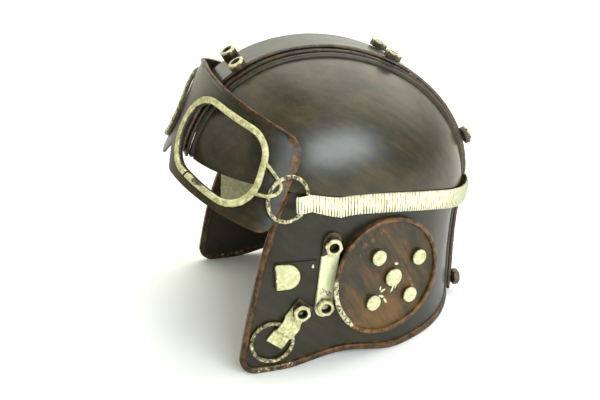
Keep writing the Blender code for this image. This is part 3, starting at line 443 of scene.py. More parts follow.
def dome_edge_point(bearing):
    """The lower edge at a bearing from the front (0) round the side (90) to the back (180)."""
    angle = math.radians(bearing)

    def at(slope):
        return onto_dome(DOME_CENTRE + Vector((math.sin(angle), -math.cos(angle), slope)))

    def below(slope):
        point = at(slope)
        return point.z < dome_edge_z(point.y)

    return at(halve(-0.9, 1.6, below))


def dome_seam_point(turn, x):
    """The dome's outer face over the seam at a distance x from the middle."""
    narrow = (1.0 - (x / DOME_HALF_WIDTH) ** SIDE_ROUNDNESS) ** (1.0 / SIDE_ROUNDNESS)
    y, z = profile(turn, (CREST_RISE - DOME_DEPTH_UNDER_CREST) * narrow,
                   (CREST_REACH_FRONT - DOME_DEPTH_UNDER_CREST) * narrow,
                   (CREST_REACH_BACK - DOME_DEPTH_UNDER_CREST) * narrow)
    return Vector((x, y, z))


def wall_half_width(z):
    share = min(1.0, max(0.0, z / DOME_EDGE_SIDE_Z))
    return mix(WALL_HALF_WIDTH_BOTTOM, WALL_HALF_WIDTH_TOP, share)


def wall_skin(s, z):
    """Outer face of the ear panel: s runs back from the widest point, z is the height."""
    half = wall_half_width(z)
    if s < 0.0:
        front = CREST_REACH_FRONT - DOME_DEPTH_UNDER_CREST
        share = min(0.98, -s / front)
        oval = math.sqrt(1.0 - share ** FRONT_ROUNDNESS)
        toe_in = blend(TOE_IN_START_Z, DOME_EDGE_SIDE_Z, z)
        return Vector((half * mix(1.0, oval, toe_in), SHELL_Y + s, z))
    reach = back_reach(z) - WALL_UNDER_CREST
    angle = s / (CREST_REACH_BACK - WALL_UNDER_CREST)
    return Vector((half * math.cos(angle), SHELL_Y + reach * math.sin(angle), z))


def lifted(skin, u, v, lift):
    """A point of a surface, lifted along the surface's outward normal."""
    along_u = skin(u + STEP, v) - skin(u - STEP, v)
    along_v = skin(u, v + STEP) - skin(u, v - STEP)
    return skin(u, v) + along_u.cross(along_v).normalized() * lift


def wall_point(s, z, lift=0.0):
    return lifted(wall_skin, s, z, lift)


def wall_normal(s, z):
    return (wall_point(s, z, 0.001) - wall_point(s, z)).normalized()


def wall_end(x, z):
    """How far back along the panel its skin comes to within x of the middle."""
    return (CREST_REACH_BACK - WALL_UNDER_CREST) * math.acos(x / wall_half_width(z))


def mask_lengths():
    """Length along the bent mask at equal steps of its oval angle."""
    lengths = [0.0]
    for i in range(MASK_STEPS):
        angle = 0.5 * math.pi * (i + 0.5) / MASK_STEPS
        speed = math.hypot(MASK_HALF_WIDTH * math.cos(angle), MASK_DEPTH * math.sin(angle))
        lengths.append(lengths[-1] + speed * 0.5 * math.pi / MASK_STEPS)
    return lengths


MASK_LENGTHS = mask_lengths()


def mask_angle(s):
    for i in range(MASK_STEPS):
        if MASK_LENGTHS[i + 1] >= s:
            share = (s - MASK_LENGTHS[i]) / (MASK_LENGTHS[i + 1] - MASK_LENGTHS[i])
            return 0.5 * math.pi * (i + share) / MASK_STEPS
    past = s - MASK_LENGTHS[-1]
    return 0.5 * math.pi + past / MASK_DEPTH


def mask_skin(s, t):
    """Outer face of the mask: s runs from the nose to its side end, t down from its top."""
    angle = mask_angle(abs(s))
    lean = math.radians(MASK_LEAN)
    half = MASK_HALF_WIDTH + MASK_WIDENING * (t / MASK_HEIGHT - 0.5)
    back = MASK_DEPTH * (1.0 - math.cos(angle))
    side = math.copysign(half * math.sin(angle), s)
    return Vector((side,
                   MASK_TOP_Y - t * math.sin(lean) + back * math.cos(lean),
                   MASK_TOP_Z - t * math.cos(lean) - back * math.sin(lean)))


def mask_point(s, t, lift=0.0):
    return lifted(mask_skin, s, t, -lift)


def round_corners(points, radii, steps=5):
    """A flat outline whose corners are rounded, each by its own radius."""
    result = []
    count = len(points)
    for i in range(count):
        here = Vector(points[i])
        before = (Vector(points[i - 1]) - here).normalized()
        after = (Vector(points[(i + 1) % count]) - here).normalized()
        radius = radii[i]
        if radius <= 0.0:
            result.append(tuple(here))
            continue
        half = 0.5 * before.angle(after)
        centre = here + (before + after).normalized() * (radius / math.sin(half))
        start = here + before * (radius / math.tan(half)) - centre
        end = here + after * (radius / math.tan(half)) - centre
        for k in range(steps + 1):
            share = k / steps
            arm = (start * (1.0 - share) + end * share).normalized() * radius
            result.append(tuple(centre + arm))
    return result


def bead_path(side):
    """The seam beside the band, from the brow over the top and down to the nape."""
    x = BAND_HALF_WIDTH + GAP + BEAD_RADIUS
    first = crest_turn_at(BROW_CENTRE_Z + BEAD_RADIUS, True)
    last = crest_turn_at(NAPE_Z + BEAD_RADIUS, False)
    path = []
    for i in range(SHELL_STEPS + 1):
        turn = mix(first, last, i / SHELL_STEPS)
        point = dome_seam_point(min(turn, 180.0), x)
        if turn > 180.0:
            point.z = crest_line(turn)[1]
        half = wall_half_width(point.z)
        reach = back_reach(point.z) - WALL_UNDER_CREST
        wall_y = SHELL_Y + reach * math.sqrt(1.0 - (x / half) ** 2)
        if turn > 90.0:
            point.y = mix(wall_y, point.y, blend(WIDEST_Z - 0.03, WIDEST_Z + 0.03, point.z))
        path.append(mirrored(point, side))
    return path


def flap_front_s(z):
    """Where the panel's front edge lies at height z."""
    share = min(1.0, max(0.0, z / DOME_EDGE_SIDE_Z))
    return -FLAP_FRONT_REACH + FLAP_SLOPE * z - FLAP_BOW * math.sin(math.pi * share)


def panel_bottom_z(s):
    """Height of the rim's underside: an arch between the flap's corner and the back."""
    if ARCH_START < s < ARCH_END:
        share = (s - ARCH_START) / (ARCH_END - ARCH_START)
        return ARCH_RISE * math.sin(math.pi * share) ** 2
    return NAPE_Z * blend(NAPE_RISE_START, wall_end(BAND_HALF_WIDTH + 2.0 * BEAD_RADIUS, 0.0), s)


def panel_top_z(s):
    y = wall_skin(s, DOME_EDGE_SIDE_Z).y
    return dome_edge_z(y) - TOP_SLIT + (TOP_SLIT + PANEL_TUCK) * blend(TUCK_START_S, TUCK_FULL_S, s)


def panel_front_top_z():
    z = DOME_EDGE_SIDE_Z
    for _ in range(20):
        z = panel_top_z(flap_front_s(z))
    return z


def panel_end_s(z):
    return wall_end(SEAM_X, z)


def edge_path(inset):
    """Points (s, z) down the flap's front, round its corner and along the bottom."""
    top = panel_front_top_z()
    radius = FLAP_CORNER - inset
    path = []
    for i in range(FLAP_STEPS):
        z = mix(top, FLAP_CORNER, i / FLAP_STEPS)
        path.append((flap_front_s(z) + inset, z))
    centre_s = flap_front_s(FLAP_CORNER) + FLAP_CORNER
    for i in range(CORNER_STEPS):
        angle = math.radians(180.0 + 90.0 * i / (CORNER_STEPS - 1))
        path.append((centre_s + radius * math.cos(angle), FLAP_CORNER + radius * math.sin(angle)))
    last = panel_end_s(NAPE_Z)
    for i in range(1, BOTTOM_STEPS + 1):
        s = mix(centre_s, last, i / BOTTOM_STEPS)
        path.append((s, panel_bottom_z(s) + inset))
    return path


def disc_axes():
    """Centre on the panel, outward axis, upward axis and backward axis of the left disc."""
    yaw, tilt = math.radians(DISC_YAW), math.radians(DISC_TILT)
    axis = Vector((math.cos(yaw) * math.cos(tilt), math.sin(yaw) * math.cos(tilt), math.sin(tilt)))
    up = (Vector((0.0, 0.0, 1.0)) - axis * axis.z).normalized()
    back = up.cross(axis)
    if back.y < 0.0:
        back = -back
    return wall_point(DISC_S, DISC_Z), axis, up, back


def onto_wall(point, axis, lift):
    """The point moved along an axis until it lies the given lift above the panel."""
    def under(reach):
        p = point + axis * reach
        half = wall_half_width(p.z) + lift
        if p.y <= SHELL_Y:
            return p.x < half
        depth = back_reach(p.z) - WALL_UNDER_CREST + lift
        return math.hypot(p.x / half, (p.y - SHELL_Y) / depth) < 1.0

    return point + axis * halve(-0.05, 0.05, under)


def capsule(first, last, half, beyond, steps):
    """Outline of a bar with round ends, round the line between two points."""
    a, b = Vector(first), Vector(last)
    along = (b - a).normalized()
    across = Vector((-along.y, along.x))
    points = []
    for centre, way in ((b, 1.0), (a, -1.0)):
        middle = centre + along * way * (beyond - half)
        for k in range(steps + 1):
            angle = math.pi * (k / steps - 0.5)
            arm = along * math.cos(angle) * way + across * math.sin(angle) * way
            points.append(tuple(middle + arm * half))
    return points


def mask_outline():
    """Flat outline of the mask's left half."""
    points = [(0.0, 0.0), MASK_TOP_END, MASK_LOW_END, (NOSE_NOTCH_HALF, MASK_HEIGHT),
              (0.0, MASK_HEIGHT - NOSE_NOTCH_RISE)]
    radii = [0.0, MASK_TOP_CORNER, MASK_LOW_CORNER, 0.005, 0.0]
    return round_corners(points, radii)


def frame_outline(inset):
    """Outline of the left goggle frame, at an inset from its outer edge."""
    ways = ((1.0, 1.0), (-1.0, 1.0), (-1.0, -1.0), (1.0, -1.0))
    points, radii = [], []
    for (s, t, radius), (in_s, in_t) in zip(FRAME_CORNERS, ways):
        points.append((s + in_s * inset, t + in_t * inset))
        radii.append(radius - inset)
    return round_corners(points, radii, 8)


def eye_centre():
    return (sum(corner[0] for corner in FRAME_CORNERS) / 4.0,
            sum(corner[1] for corner in FRAME_CORNERS) / 4.0)


def ray_hit(outline, angle):
    """Where a line from the eye's centre at an angle meets a flat outline."""
    s0, t0 = eye_centre()
    ds, dt = math.cos(angle), math.sin(angle)
    best = None
    for i, (s1, t1) in enumerate(outline):
        s2, t2 = outline[(i + 1) % len(outline)]
        down = ds * (t1 - t2) - dt * (s1 - s2)
        if abs(down) < 1.0e-12:
            continue
        reach = ((s1 - s0) * (t1 - t2) - (t1 - t0) * (s1 - s2)) / down
        share = (ds * (t1 - t0) - dt * (s1 - s0)) / down
        if reach > 0.0 and -1.0e-7 <= share <= 1.0 + 1.0e-7 and (best is None or reach < best):
            best = reach
    return s0 + ds * best, t0 + dt * best


def strap_ring_frame():
    """Centre of the left strap ring, with its forward, upward and outward axes."""
    centre = mask_point(*STRAP_RING_ON_MASK)
    outward = Vector((1.0, STRAP_RING_SLANT, STRAP_RING_LEAN)).normalized()
    forward = Vector((0.0, -1.0, 0.0))
    forward = (forward - outward * forward.dot(outward)).normalized()
    upward = forward.cross(outward)
    if upward.z < 0.0:
        upward = -upward
    return centre, forward, upward, outward


def strap_loop_sections():
    """The strap's end: an inner layer, a turn round the ring's rear wire and an outer layer."""
    centre, forward, upward, outward = strap_ring_frame()
    near = WIRE_RADIUS + GAP
    far = near + STRAP_LAYER
    bend = STRAP_LOOP_FRONT - far
    places = [(STRAP_LOOP_BACK, -near, STRAP_LOOP_BACK, -far), (bend, -near, bend, -far)]
    for k in range(1, 6):
        angle = math.pi * (k / 6 - 0.5)
        places.append((bend + near * math.cos(angle), near * math.sin(angle),
                       bend + far * math.cos(angle), far * math.sin(angle)))
    places += [(bend, near, bend, far), (STRAP_LOOP_BACK, near, STRAP_LOOP_BACK, far)]
    low = STRAP_LOOP_LOW - 0.5 * STRAP_LOOP_WIDTH
    high = STRAP_LOOP_LOW + 0.5 * STRAP_LOOP_WIDTH
    sections = []
    for near_way, near_out, far_way, far_out in places:
        inner = centre + forward * near_way + outward * near_out
        outer = centre + forward * far_way + outward * far_out
        top = high - STRAP_TAIL_CUT * blend(-0.5 * near, -near, near_out)
        sections.append([inner + upward * low, inner + upward * top,
                         outer + upward * top, outer + upward * low])
    return sections


def strap_wall_section(s):
    """The strap's section where it lies round the panel, and over the beads and the crest."""
    y = wall_skin(s, DOME_EDGE_SIDE_Z).y
    below = mix(STRAP_BELOW_EDGE_FRONT, STRAP_BELOW_EDGE, blend(0.0, STRAP_LIFT_START, s))
    centre_z = dome_edge_z(y) - below - 0.5 * STRAP_WIDTH
    centre_z += STRAP_NAPE_RISE * blend(STRAP_CLIMB_START, STRAP_LIFT_END, s)
    crest_stand = WALL_UNDER_CREST + WALL_HALF_WIDTH_TOP - math.sqrt(
        WALL_HALF_WIDTH_TOP ** 2 - CREST_HALF_WIDTH ** 2)
    lift = GAP + (crest_stand + GAP) * blend(STRAP_LIFT_START, STRAP_LIFT_END, s)
    section = []
    for up, out in ((-0.5, lift), (0.5, lift), (0.5, lift + STRAP_SHEET), (-0.5, lift + STRAP_SHEET)):
        z = centre_z + up * STRAP_WIDTH
        point = wall_point(s, z, out)
        straight = SHELL_Y + CREST_REACH_BACK + GAP + out - lift
        share = blend(CREST_HALF_WIDTH + 0.006, CREST_HALF_WIDTH, point.x)
        point.y = mix(point.y, max(point.y, straight), share)
        section.append(point)
    return section


# Mesh helpers
def new_mesh():
    """A mesh that carries two values at each point: distance to an edge, and cover of paint; some pieces also
    lay painted shade and sheen in them.
    """
    bm = bmesh.new()
    bm.verts.layers.float.new("edge")
    bm.verts.layers.float.new("cover")
    return bm


def far_from_edges(bm):
    """Fill the edge value with the distance to the nearest sharp edge."""
    layer = bm.verts.layers.float["edge"]
    points = []
    for edge in bm.edges:
        if len(edge.link_faces) == 2 and edge.calc_face_angle(0.0) > SHARP_ANGLE:
            a, b = edge.verts[0].co, edge.verts[1].co
            count = max(1, int((b - a).length / 0.0008))
            points.extend(a.lerp(b, (i + 0.5) / count) for i in range(count))
    tree = kdtree.KDTree(len(points))
    for i, point in enumerate(points):
        tree.insert(point, i)
    tree.balance()
    for vert in bm.verts:
        vert[layer] = min(FAR_FROM_EDGE, tree.find(vert.co)[2]) if points else FAR_FROM_EDGE


def fill(bm, name, value_at, side):
    """Fill a value by a formula of each point's place, as that place is on the left side."""
    layer = bm.verts.layers.float[name]
    for vert in bm.verts:
        vert[layer] = value_at(mirrored(vert.co, side))


def finish(node, bm, material, bevel=0.0, cover=None, edge=far_from_edges, side=1.0, piece_name=None):
    """Turn a mesh into a named piece that stands for a node; cover and edge are formulas or None."""
    bmesh.ops.remove_doubles(bm, verts=bm.verts, dist=2.0e-6)
    bmesh.ops.recalc_face_normals(bm, faces=bm.faces)
    if edge is far_from_edges:
        far_from_edges(bm)
    elif edge:
        fill(bm, "edge", edge, side)
    if cover:
        fill(bm, "cover", cover, side)
    bmesh.ops.translate(bm, verts=bm.verts, vec=SHIFT)
    name = piece_name or node + "_skin"
    mesh = bpy.data.meshes.new(name)
    bm.to_mesh(mesh)
    bm.free()
    mesh.materials.append(material)
    mesh.shade_smooth()
    piece = bpy.data.objects.new(name, mesh)
    bpy.context.scene.collection.objects.link(piece)
    if bevel > 0.0:
        round_off = piece.modifiers.new("rounded_edges", "BEVEL")
        round_off.width = bevel
        round_off.segments = 3
        round_off.limit_method = "ANGLE"
        round_off.angle_limit = SHARP_ANGLE
        round_off.harden_normals = True
    else:
        mesh.set_sharp_from_angle(angle=math.radians(50.0))
    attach(piece, "root")
    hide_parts(node)


def add_rings(bm, rings, closed=False):
    """Skin a row of closed rings of equal count."""
    grid = [[bm.verts.new(p) for p in ring] for ring in rings]
    count = len(grid[0])
    for i in range(len(grid) if closed else len(grid) - 1):
        here, there = grid[i], grid[(i + 1) % len(grid)]
        for j in range(count):
            k = (j + 1) % count
            bm.faces.new((here[j], here[k], there[k], there[j]))
    return grid


def cap_ends(bm, grid):
    bm.faces.new(grid[0])
    bm.faces.new(list(reversed(grid[-1])))


def sheet(rows, columns, at):
    """A closed sheet; at(row, column) gives a point of its outer face and one of its inner face."""
    bm = new_mesh()
    pairs = [[at(i, j) for j in range(columns)] for i in range(rows)]
    top = [[bm.verts.new(outer) for outer, inner in row] for row in pairs]
    low = [[bm.verts.new(inner) for outer, inner in row] for row in pairs]
    for i in range(rows - 1):
        for j in range(columns - 1):
            bm.faces.new((top[i][j], top[i + 1][j], top[i + 1][j + 1], top[i][j + 1]))
            bm.faces.new((low[i][j], low[i][j + 1], low[i + 1][j + 1], low[i + 1][j]))
    edge = [(i, 0) for i in range(rows)] + [(rows - 1, j) for j in range(1, columns)]
    edge += [(i, columns - 1) for i in range(rows - 2, -1, -1)]
    edge += [(0, j) for j in range(columns - 2, 0, -1)]
    for (i, j), (m, n) in zip(edge, edge[1:] + edge[:1]):
        bm.faces.new((top[i][j], low[i][j], low[m][n], top[m][n]))
    return bm


def ripple(point, scale, height):
    """A smooth random height, the same for both sides of the helmet's middle."""
    return noise.noise(Vector((abs(point[0]), point[1], point[2])) * scale) * height


def smooth_curve(points, count):
    """A smooth open run of points through the given ones."""
    total = len(points) - 1
    result = []
    for i in range(count + 1):
        place = total * i / count
        k = min(int(place), total - 1)
        u = place - k
        p = [points[max(0, min(total, j))] for j in (k - 1, k, k + 1, k + 2)]
        result.append(0.5 * (2.0 * p[1] + (p[2] - p[0]) * u
                             + (2.0 * p[0] - 5.0 * p[1] + 4.0 * p[2] - p[3]) * u * u
                             + (3.0 * p[1] - p[0] - 3.0 * p[2] + p[3]) * u ** 3))
    return result


def wire(bm, path, radius, sides=14, closed=False, rough=0.0):
    """A round wire along a list of points, a little uneven; open ends taper to a round tip."""
    count = len(path)
    rings = []
    side_way = None
    for i, point in enumerate(path):
        before = path[(i - 1) % count] if closed or i > 0 else point
        after = path[(i + 1) % count] if closed or i < count - 1 else point
        along = (after - before).normalized()
        if side_way is None:
            side_way = along.orthogonal().normalized()
        side_way = (side_way - along * side_way.dot(along)).normalized()
        other = along.cross(side_way)
        here = radius * (1.0 + ripple(point, 260.0, rough))
        if not closed:
            here *= math.sqrt(min(1.0, 0.25 + 0.9 * min(i, count - 1 - i)))
        rings.append([point + (side_way * math.cos(a) + other * math.sin(a)) * here for a in turns(sides)])
    grid = add_rings(bm, rings, closed)
    if not closed:
        cap_ends(bm, grid)


def resample(outline):
    """Points at about equal distances round a flat closed outline."""
    result = []
    for i, a in enumerate(outline):
        a, b = Vector(a), Vector(outline[(i + 1) % len(outline)])
        count = max(1, round((b - a).length / OUTLINE_STEP))
        result.extend(a.lerp(b, k / count) for k in range(count))
    return result


def plate(outline, spine, side, low, thickness, bevel, rows):
    """A plate on the panel with a rounded upper edge; each outline point looks to its spine point."""
    high = low + thickness
    spans = [(p, spine(p), max(1.0e-9, (spine(p) - p).length)) for p in resample(outline)]

    def ring(place):
        return [mirrored(wall_point(*place(p, s, length)), side) for p, s, length in spans]

    rings = [ring(lambda p, s, length: (s.x, s.y, low))]
    for inset, lift in ((0.0, low), (0.0, high - bevel), (0.3 * bevel, high - 0.3 * bevel), (bevel, high)):
        rings.append(ring(lambda p, s, length: (*p.lerp(s, min(1.0, inset / length)), lift)))
    for r in range(rows):
        share = (r + 1) / rows

        def dented(p, s, length):
            q = p.lerp(s, mix(min(1.0, bevel / length), 1.0, share))
            dent = ripple((q.x, q.y, 0.0), 160.0, 0.00022) * (1.0 - share * 0.2)
            return q.x, q.y, high + min(0.0, dent)

        rings.append(ring(dented))
    bm = new_mesh()
    add_rings(bm, rings)
    return bm


# Materials
class Tree:
    """A node tree, built step by step."""

    def __init__(self, owner):
        owner.use_nodes = True
        self.tree = owner.node_tree

    def node(self, kind, values, **settings):
        made = self.tree.nodes.new("ShaderNode" + kind)
        for key, value in settings.items():
            setattr(made, key, value)
        for key, value in values.items():
            self.put(made.inputs[key], value)
        return made

    def put(self, socket, value):
        if isinstance(value, bpy.types.NodeSocket):
            self.tree.links.new(value, socket)
        elif socket.type == "RGBA":
            socket.default_value = (*value, 1.0)
        else:
            socket.default_value = value

    def step(self, value, low, high):
        return self.node("MapRange", {"Value": value, "From Min": low, "From Max": high},
                         interpolation_type="SMOOTHSTEP").outputs[0]

    def mixed(self, share, a, b):
        return self.node("Mix", {0: share, 6: a, 7: b}, data_type="RGBA").outputs[2]


class Paint(Tree):
    """The node tree of one material."""

    def __init__(self, name):
        self.material = bpy.data.materials.new(name)
        super().__init__(self.material)
        self.shader = self.tree.nodes["Principled BSDF"]
        self.where = self.tree.nodes.new("ShaderNodeTexCoord").outputs["Object"]

    def calc(self, operation, a, b, clamp=False):
        return self.node("Math", {0: a, 1: b}, operation=operation, use_clamp=clamp).outputs[0]

    def times(self, a, b):
        return self.calc("MULTIPLY", a, b)

    def total(self, *shares):
        """The sum of (value, factor) pairs."""
        whole = None
        for value, factor in shares:
            part = value if factor == 1.0 else self.times(value, factor)
            whole = part if whole is None else self.calc("ADD", whole, part)
        return whole

    def over(self, base, colour, share, amount):
        """A colour laid over a base where share says, by the given amount at most."""
        return self.mixed(self.times(share, amount), base, colour)

    def value(self, name):
        return self.node("Attribute", {}, attribute_name=name).outputs["Fac"]

    def grain(self, turn, along, across):
        """Coordinates that stretch a pattern along one direction of the helmet's side."""
        rotated = self.node("Mapping", {"Vector": self.where, "Rotation": (math.radians(turn), 0.0, 0.0)})
        return self.node("Mapping", {"Vector": rotated.outputs[0],
                                     "Scale": (across, along, across)}).outputs[0]

    def noise(self, scale, detail=4.0, roughness=0.55, where=None, bend=0.0):
        return self.node("TexNoise", {"Vector": where or self.where, "Scale": scale, "Detail": detail,
                                      "Roughness": roughness, "Distortion": bend}).outputs["Fac"]

    def wandering(self, name, reach, scale, detail, roughness):
        """A value of the mesh whose borders wander by a noise."""
        wander = self.times(self.calc("SUBTRACT", self.noise(scale, detail, roughness), 0.5), reach)
        return self.calc("ADD", self.value(name), wander)

    def bump(self, height, strength, distance, below=None):
        values = {"Height": height, "Strength": strength, "Distance": distance}
        if below:
            values["Normal"] = below
        return self.node("Bump", values).outputs[0]

    def set(self, **values):
        for key, value in values.items():
            self.put(self.shader.inputs[key.replace("_", " ")], value)
        return self.material


def lacquer(node, dark=(0.0165, 0.0150, 0.0080), warm=(0.054, 0.037, 0.013), rub=0.55, width=0.0022,
            patches=0.5, gloss=0.36, turn=38.0, bright=1.0, shine=0.42, brushed=1.0, painted_sheen=0.0):
    """Dark lacquer with brush strokes, rubbed through to copper on edges and in patches."""
    p = Paint("look_" + node)
    strokes = p.noise(1.0, 5.0, 0.65, p.grain(turn, 60.0, 1100.0))
    broad = p.noise(1.0, 3.0, 0.6, p.grain(turn, 22.0, 190.0))
    cloud = p.noise(17.0, 5.0, 0.6, None, 0.6)
    fine = p.noise(420.0, 3.0, 0.6)
    base = p.mixed(p.step(p.total((cloud, 0.8), (broad, 0.5)), 0.52, 0.88), dark, warm)
    base = p.over(base, PALE_STROKE, p.step(strokes, 0.52, 0.75), 0.34 * brushed)
    base = p.over(base, BLACK, p.step(strokes, 0.50, 0.25), 0.50 * brushed)
    # Painted sheen: a pale tint laid where the cover value says; only the mask uses it
    base = p.over(base, PAINTED_SHEEN_TINT, p.value("cover"), painted_sheen)
    copper = p.mixed(p.step(p.noise(150.0, 6.0, 0.7), 0.40, 0.62), DARK_COPPER,
                     tuple(channel * bright for channel in COPPER))
    edge = p.wandering("edge", width * 5.0, 95.0, 6.0, 0.72)
    rubbed = p.times(p.step(edge, width, width * 0.25), rub)
    streaky = p.total((p.noise(31.0, 6.0, 0.7, None, 1.2), 0.75), (broad, 0.35))
    worn = p.calc("MAXIMUM", rubbed, p.times(p.step(streaky, 0.60, 0.74), patches))
    speck = p.times(p.step(p.noise(1150.0, 1.0, 0.5), 0.77, 0.80), p.step(p.noise(60.0, 2.0), 0.50, 0.62))
    colour = p.over(p.mixed(worn, base, copper), PALE_SPECK, speck, 0.75)
    daub = p.step(p.wandering("cover", 0.9, 330.0, 6.0, 0.75), 0.52, 0.60)
    colour = p.mixed(daub, colour, p.mixed(p.step(fine, 0.35, 0.65), DULL_CREAM, CREAM))
    rough = p.total((strokes, 0.16), (gloss - 0.08, 1.0), (worn, 0.10))
    rough = p.calc("ADD", rough, p.times(daub, 0.15), True)
    height = p.total((strokes, 0.5), (fine, 0.35), (worn, -0.5), (daub, 1.2))
    dents = p.bump(p.noise(42.0, 2.0, 0.5), 0.22, 0.0012)
    return p.set(Base_Color=colour, Roughness=rough, Metallic=p.times(worn, 0.45),
                 Specular_IOR_Level=shine, Normal=p.bump(height, 0.55, 0.00009, dents))


def gold_paint(node, light=(0.80, 0.77, 0.46), mid=(0.52, 0.46, 0.20), mottle=0.5, chip=0.5, stain_and_shade=0.0):
    """Pale gold paint brushed over brown metal; cover says where the paint holds, and below zero it paints
    black shade into bores and cuts.
    """
    p = Paint("look_" + node)
    fine = p.noise(520.0, 5.0, 0.7)
    blot = p.noise(170.0, 6.0, 0.72, None, 0.8)
    tone = p.over(light, mid, p.step(blot, 0.62, 0.36), mottle)
    tone = p.over(tone, BROWN_GOLD, p.step(fine, 0.56, 0.30), 0.30 * mottle)
    # Stain mottling; its amount also stands for painted shade on the far goggle frame
    tone = p.over(tone, STAIN, p.step(p.noise(115.0, 7.0, 0.75, None, 1.4), 0.47, 0.58), stain_and_shade)
    bare_metal_and_shade = p.mixed(p.step(blot, 0.46, 0.66), BARE_METAL, RUST)
    # Painted shade: where cover is below zero, in nut bores and the goggle frame's cut, the bare metal turns
    # black
    bare_metal_and_shade = p.mixed(p.step(p.value("cover"), -0.2, -0.7), bare_metal_and_shade, BLACK)
    near_edge = p.times(p.step(p.value("edge"), 0.0010, 0.0), 0.22 * chip)
    cover = p.calc("SUBTRACT", p.wandering("cover", 1.5, 300.0, 7.0, 0.78), near_edge)
    held = p.step(cover, 0.40, 0.54)
    height = p.total((held, 0.8), (fine, 0.55), (blot, 0.9))
    return p.set(Base_Color=p.mixed(held, bare_metal_and_shade, tone), Roughness=p.total((fine, 0.2), (0.36, 1.0)),
                 Metallic=p.times(held, 0.12), Specular_IOR_Level=0.5, Normal=p.bump(height, 0.7, 0.00022))


def webbing_paint(node):
    """Cream paint on ribbed webbing, with brown specks and gaps, and painted shade in the grooves; edge says
    where painted shade dulls it towards the back.
    """
    p = Paint("look_" + node)
    fine = p.noise(700.0, 4.0, 0.7)
    tone = p.mixed(p.step(p.noise(240.0, 6.0, 0.75), 0.60, 0.34), WEB_LIGHT, WEB_MID)
    # Painted shade in the grooves between the ribs, where cover is low
    tone = p.over(tone, WEB_GROOVE_SHADE, p.step(p.value("cover"), 0.80, 0.40), 0.75)
    # Painted shade: greyer towards the back of the strap, where edge says
    tone = p.mixed(p.value("edge"), tone, WEB_REAR_SHADE)
    held = p.step(p.wandering("cover", 1.6, 420.0, 6.0, 0.8), 0.26, 0.40)
    brown = p.mixed(p.step(fine, 0.4, 0.6), WEB_DARK_BROWN, WEB_BROWN)
    height = p.total((held, 0.7), (fine, 0.6))
    return p.set(Base_Color=p.mixed(held, brown, tone), Roughness=0.62, Sheen_Weight=0.05,
                 Specular_IOR_Level=0.4, Normal=p.bump(height, 0.6, 0.0002))


def floor_paint(name):
    p = Paint(name)
    grain = p.noise(900.0, 2.0, 0.5)
    return p.set(Base_Color=p.mixed(grain, (0.90, 0.905, 0.90), (0.93, 0.935, 0.93)), Roughness=0.9,
                 Specular_IOR_Level=0.1, Normal=p.bump(grain, 0.05, 0.0001))


# Shell
def make_dome(side, name):
    """One bulged half of the shell: columns run up from its lower edge to the seam."""

    def seam_turn(z, front):
        low, high = (0.5, 89.0) if front else (91.0, 179.9)
        return halve(low, high, lambda turn: (dome_seam_point(turn, SEAM_X).z < z) == front)

    first_turn = seam_turn(dome_edge_z(SHELL_Y - CREST_REACH_FRONT) + DOME_FRONT_CORNER, True)
    last_turn = seam_turn(dome_edge_z(SHELL_Y + CREST_REACH_BACK) + DOME_BACK_CORNER, False)
    first = math.degrees(math.asin((SEAM_X + DOME_FRONT_CORNER) / CREST_REACH_FRONT))
    last = 180.0 - math.degrees(math.asin((SEAM_X + DOME_BACK_CORNER) / CREST_REACH_BACK))
    shares = [i / DOME_COLUMNS for i in range(DOME_COLUMNS + 1)]
    edges = [dome_edge_point(mix(first, last, share)) for share in shares]
    seams = [dome_seam_point(mix(first_turn, last_turn, share), SEAM_X) for share in shares]

    def at(i, j):
        bulge = max(0.0, 1.0 - 6.0 * min(shares[i], 1.0 - shares[i]))
        up = j / DOME_ROWS
        corner = Vector((SEAM_X, edges[i].y, edges[i].z))
        point = edges[i].lerp(seams[i], up).lerp(corner, 0.35 * bulge * 4.0 * up * (1.0 - up))
        point.x = max(point.x, SEAM_X)
        point = onto_dome(point)
        normal = dome_normal(point)
        point -= normal * (0.00015 + ripple(point, 26.0, 0.00028))
        return mirrored(point, side), mirrored(point - normal * DOME_SHEET, side)

    paint = lacquer(name, dark=(0.020, 0.0165, 0.0075), warm=(0.070, 0.047, 0.015), rub=0.45,
                    width=0.0012, patches=0.34, gloss=0.33, shine=0.60)
    finish(name, sheet(DOME_COLUMNS + 1, DOME_ROWS + 1, at), paint, SHEET_BEVEL)


def make_strip(name, half, depth, thickness, lip, paint):
    """A long sheet that runs over the crest from brow to nape."""
    first = crest_turn_at(BROW_CENTRE_Z + lip, True)
    last = crest_turn_at(NAPE_Z + lip, False)

    def at(i, j):
        turn = mix(first, last, i / STRIP_STEPS)
        x = mix(-half, half, j / STRIP_ROWS)
        if j in (0, STRIP_ROWS):
            x += math.copysign(ripple((0.0, turn * 0.004, x * 0.1), 90.0, 0.0003), x)
        high = depth + 0.00012 + ripple((x, turn * 0.002, 0.0), 60.0, 0.0002)
        return crest_point(turn, x, high), crest_point(turn, x, depth + thickness)

    finish(name, sheet(STRIP_STEPS + 1, STRIP_ROWS + 1, at), paint, SHEET_BEVEL)


def make_crest():
    make_strip("centre_band", BAND_HALF_WIDTH, CREST_SHEET + GAP, BAND_SHEET, 0.0, lacquer(
        "centre_band", rub=0.60, width=0.0009, patches=0.12, gloss=0.28, shine=0.6))
    make_strip("crest_strip", CREST_HALF_WIDTH, 0.0, CREST_SHEET, BAND_BROW_LIP, lacquer(
        "crest_strip", rub=0.75, width=0.0010, patches=0.12, gloss=0.24, shine=0.95))
    for side, prefix in SIDES:
        name = prefix + "_seam_bead"
        bm = new_mesh()
        wire(bm, smooth_curve(bead_path(side), BEAD_STEPS), BEAD_RADIUS + 1.4 * GAP, rough=0.03)
        finish(name, bm, lacquer(name, rub=0.0, patches=0.10, gloss=0.42), edge=None)


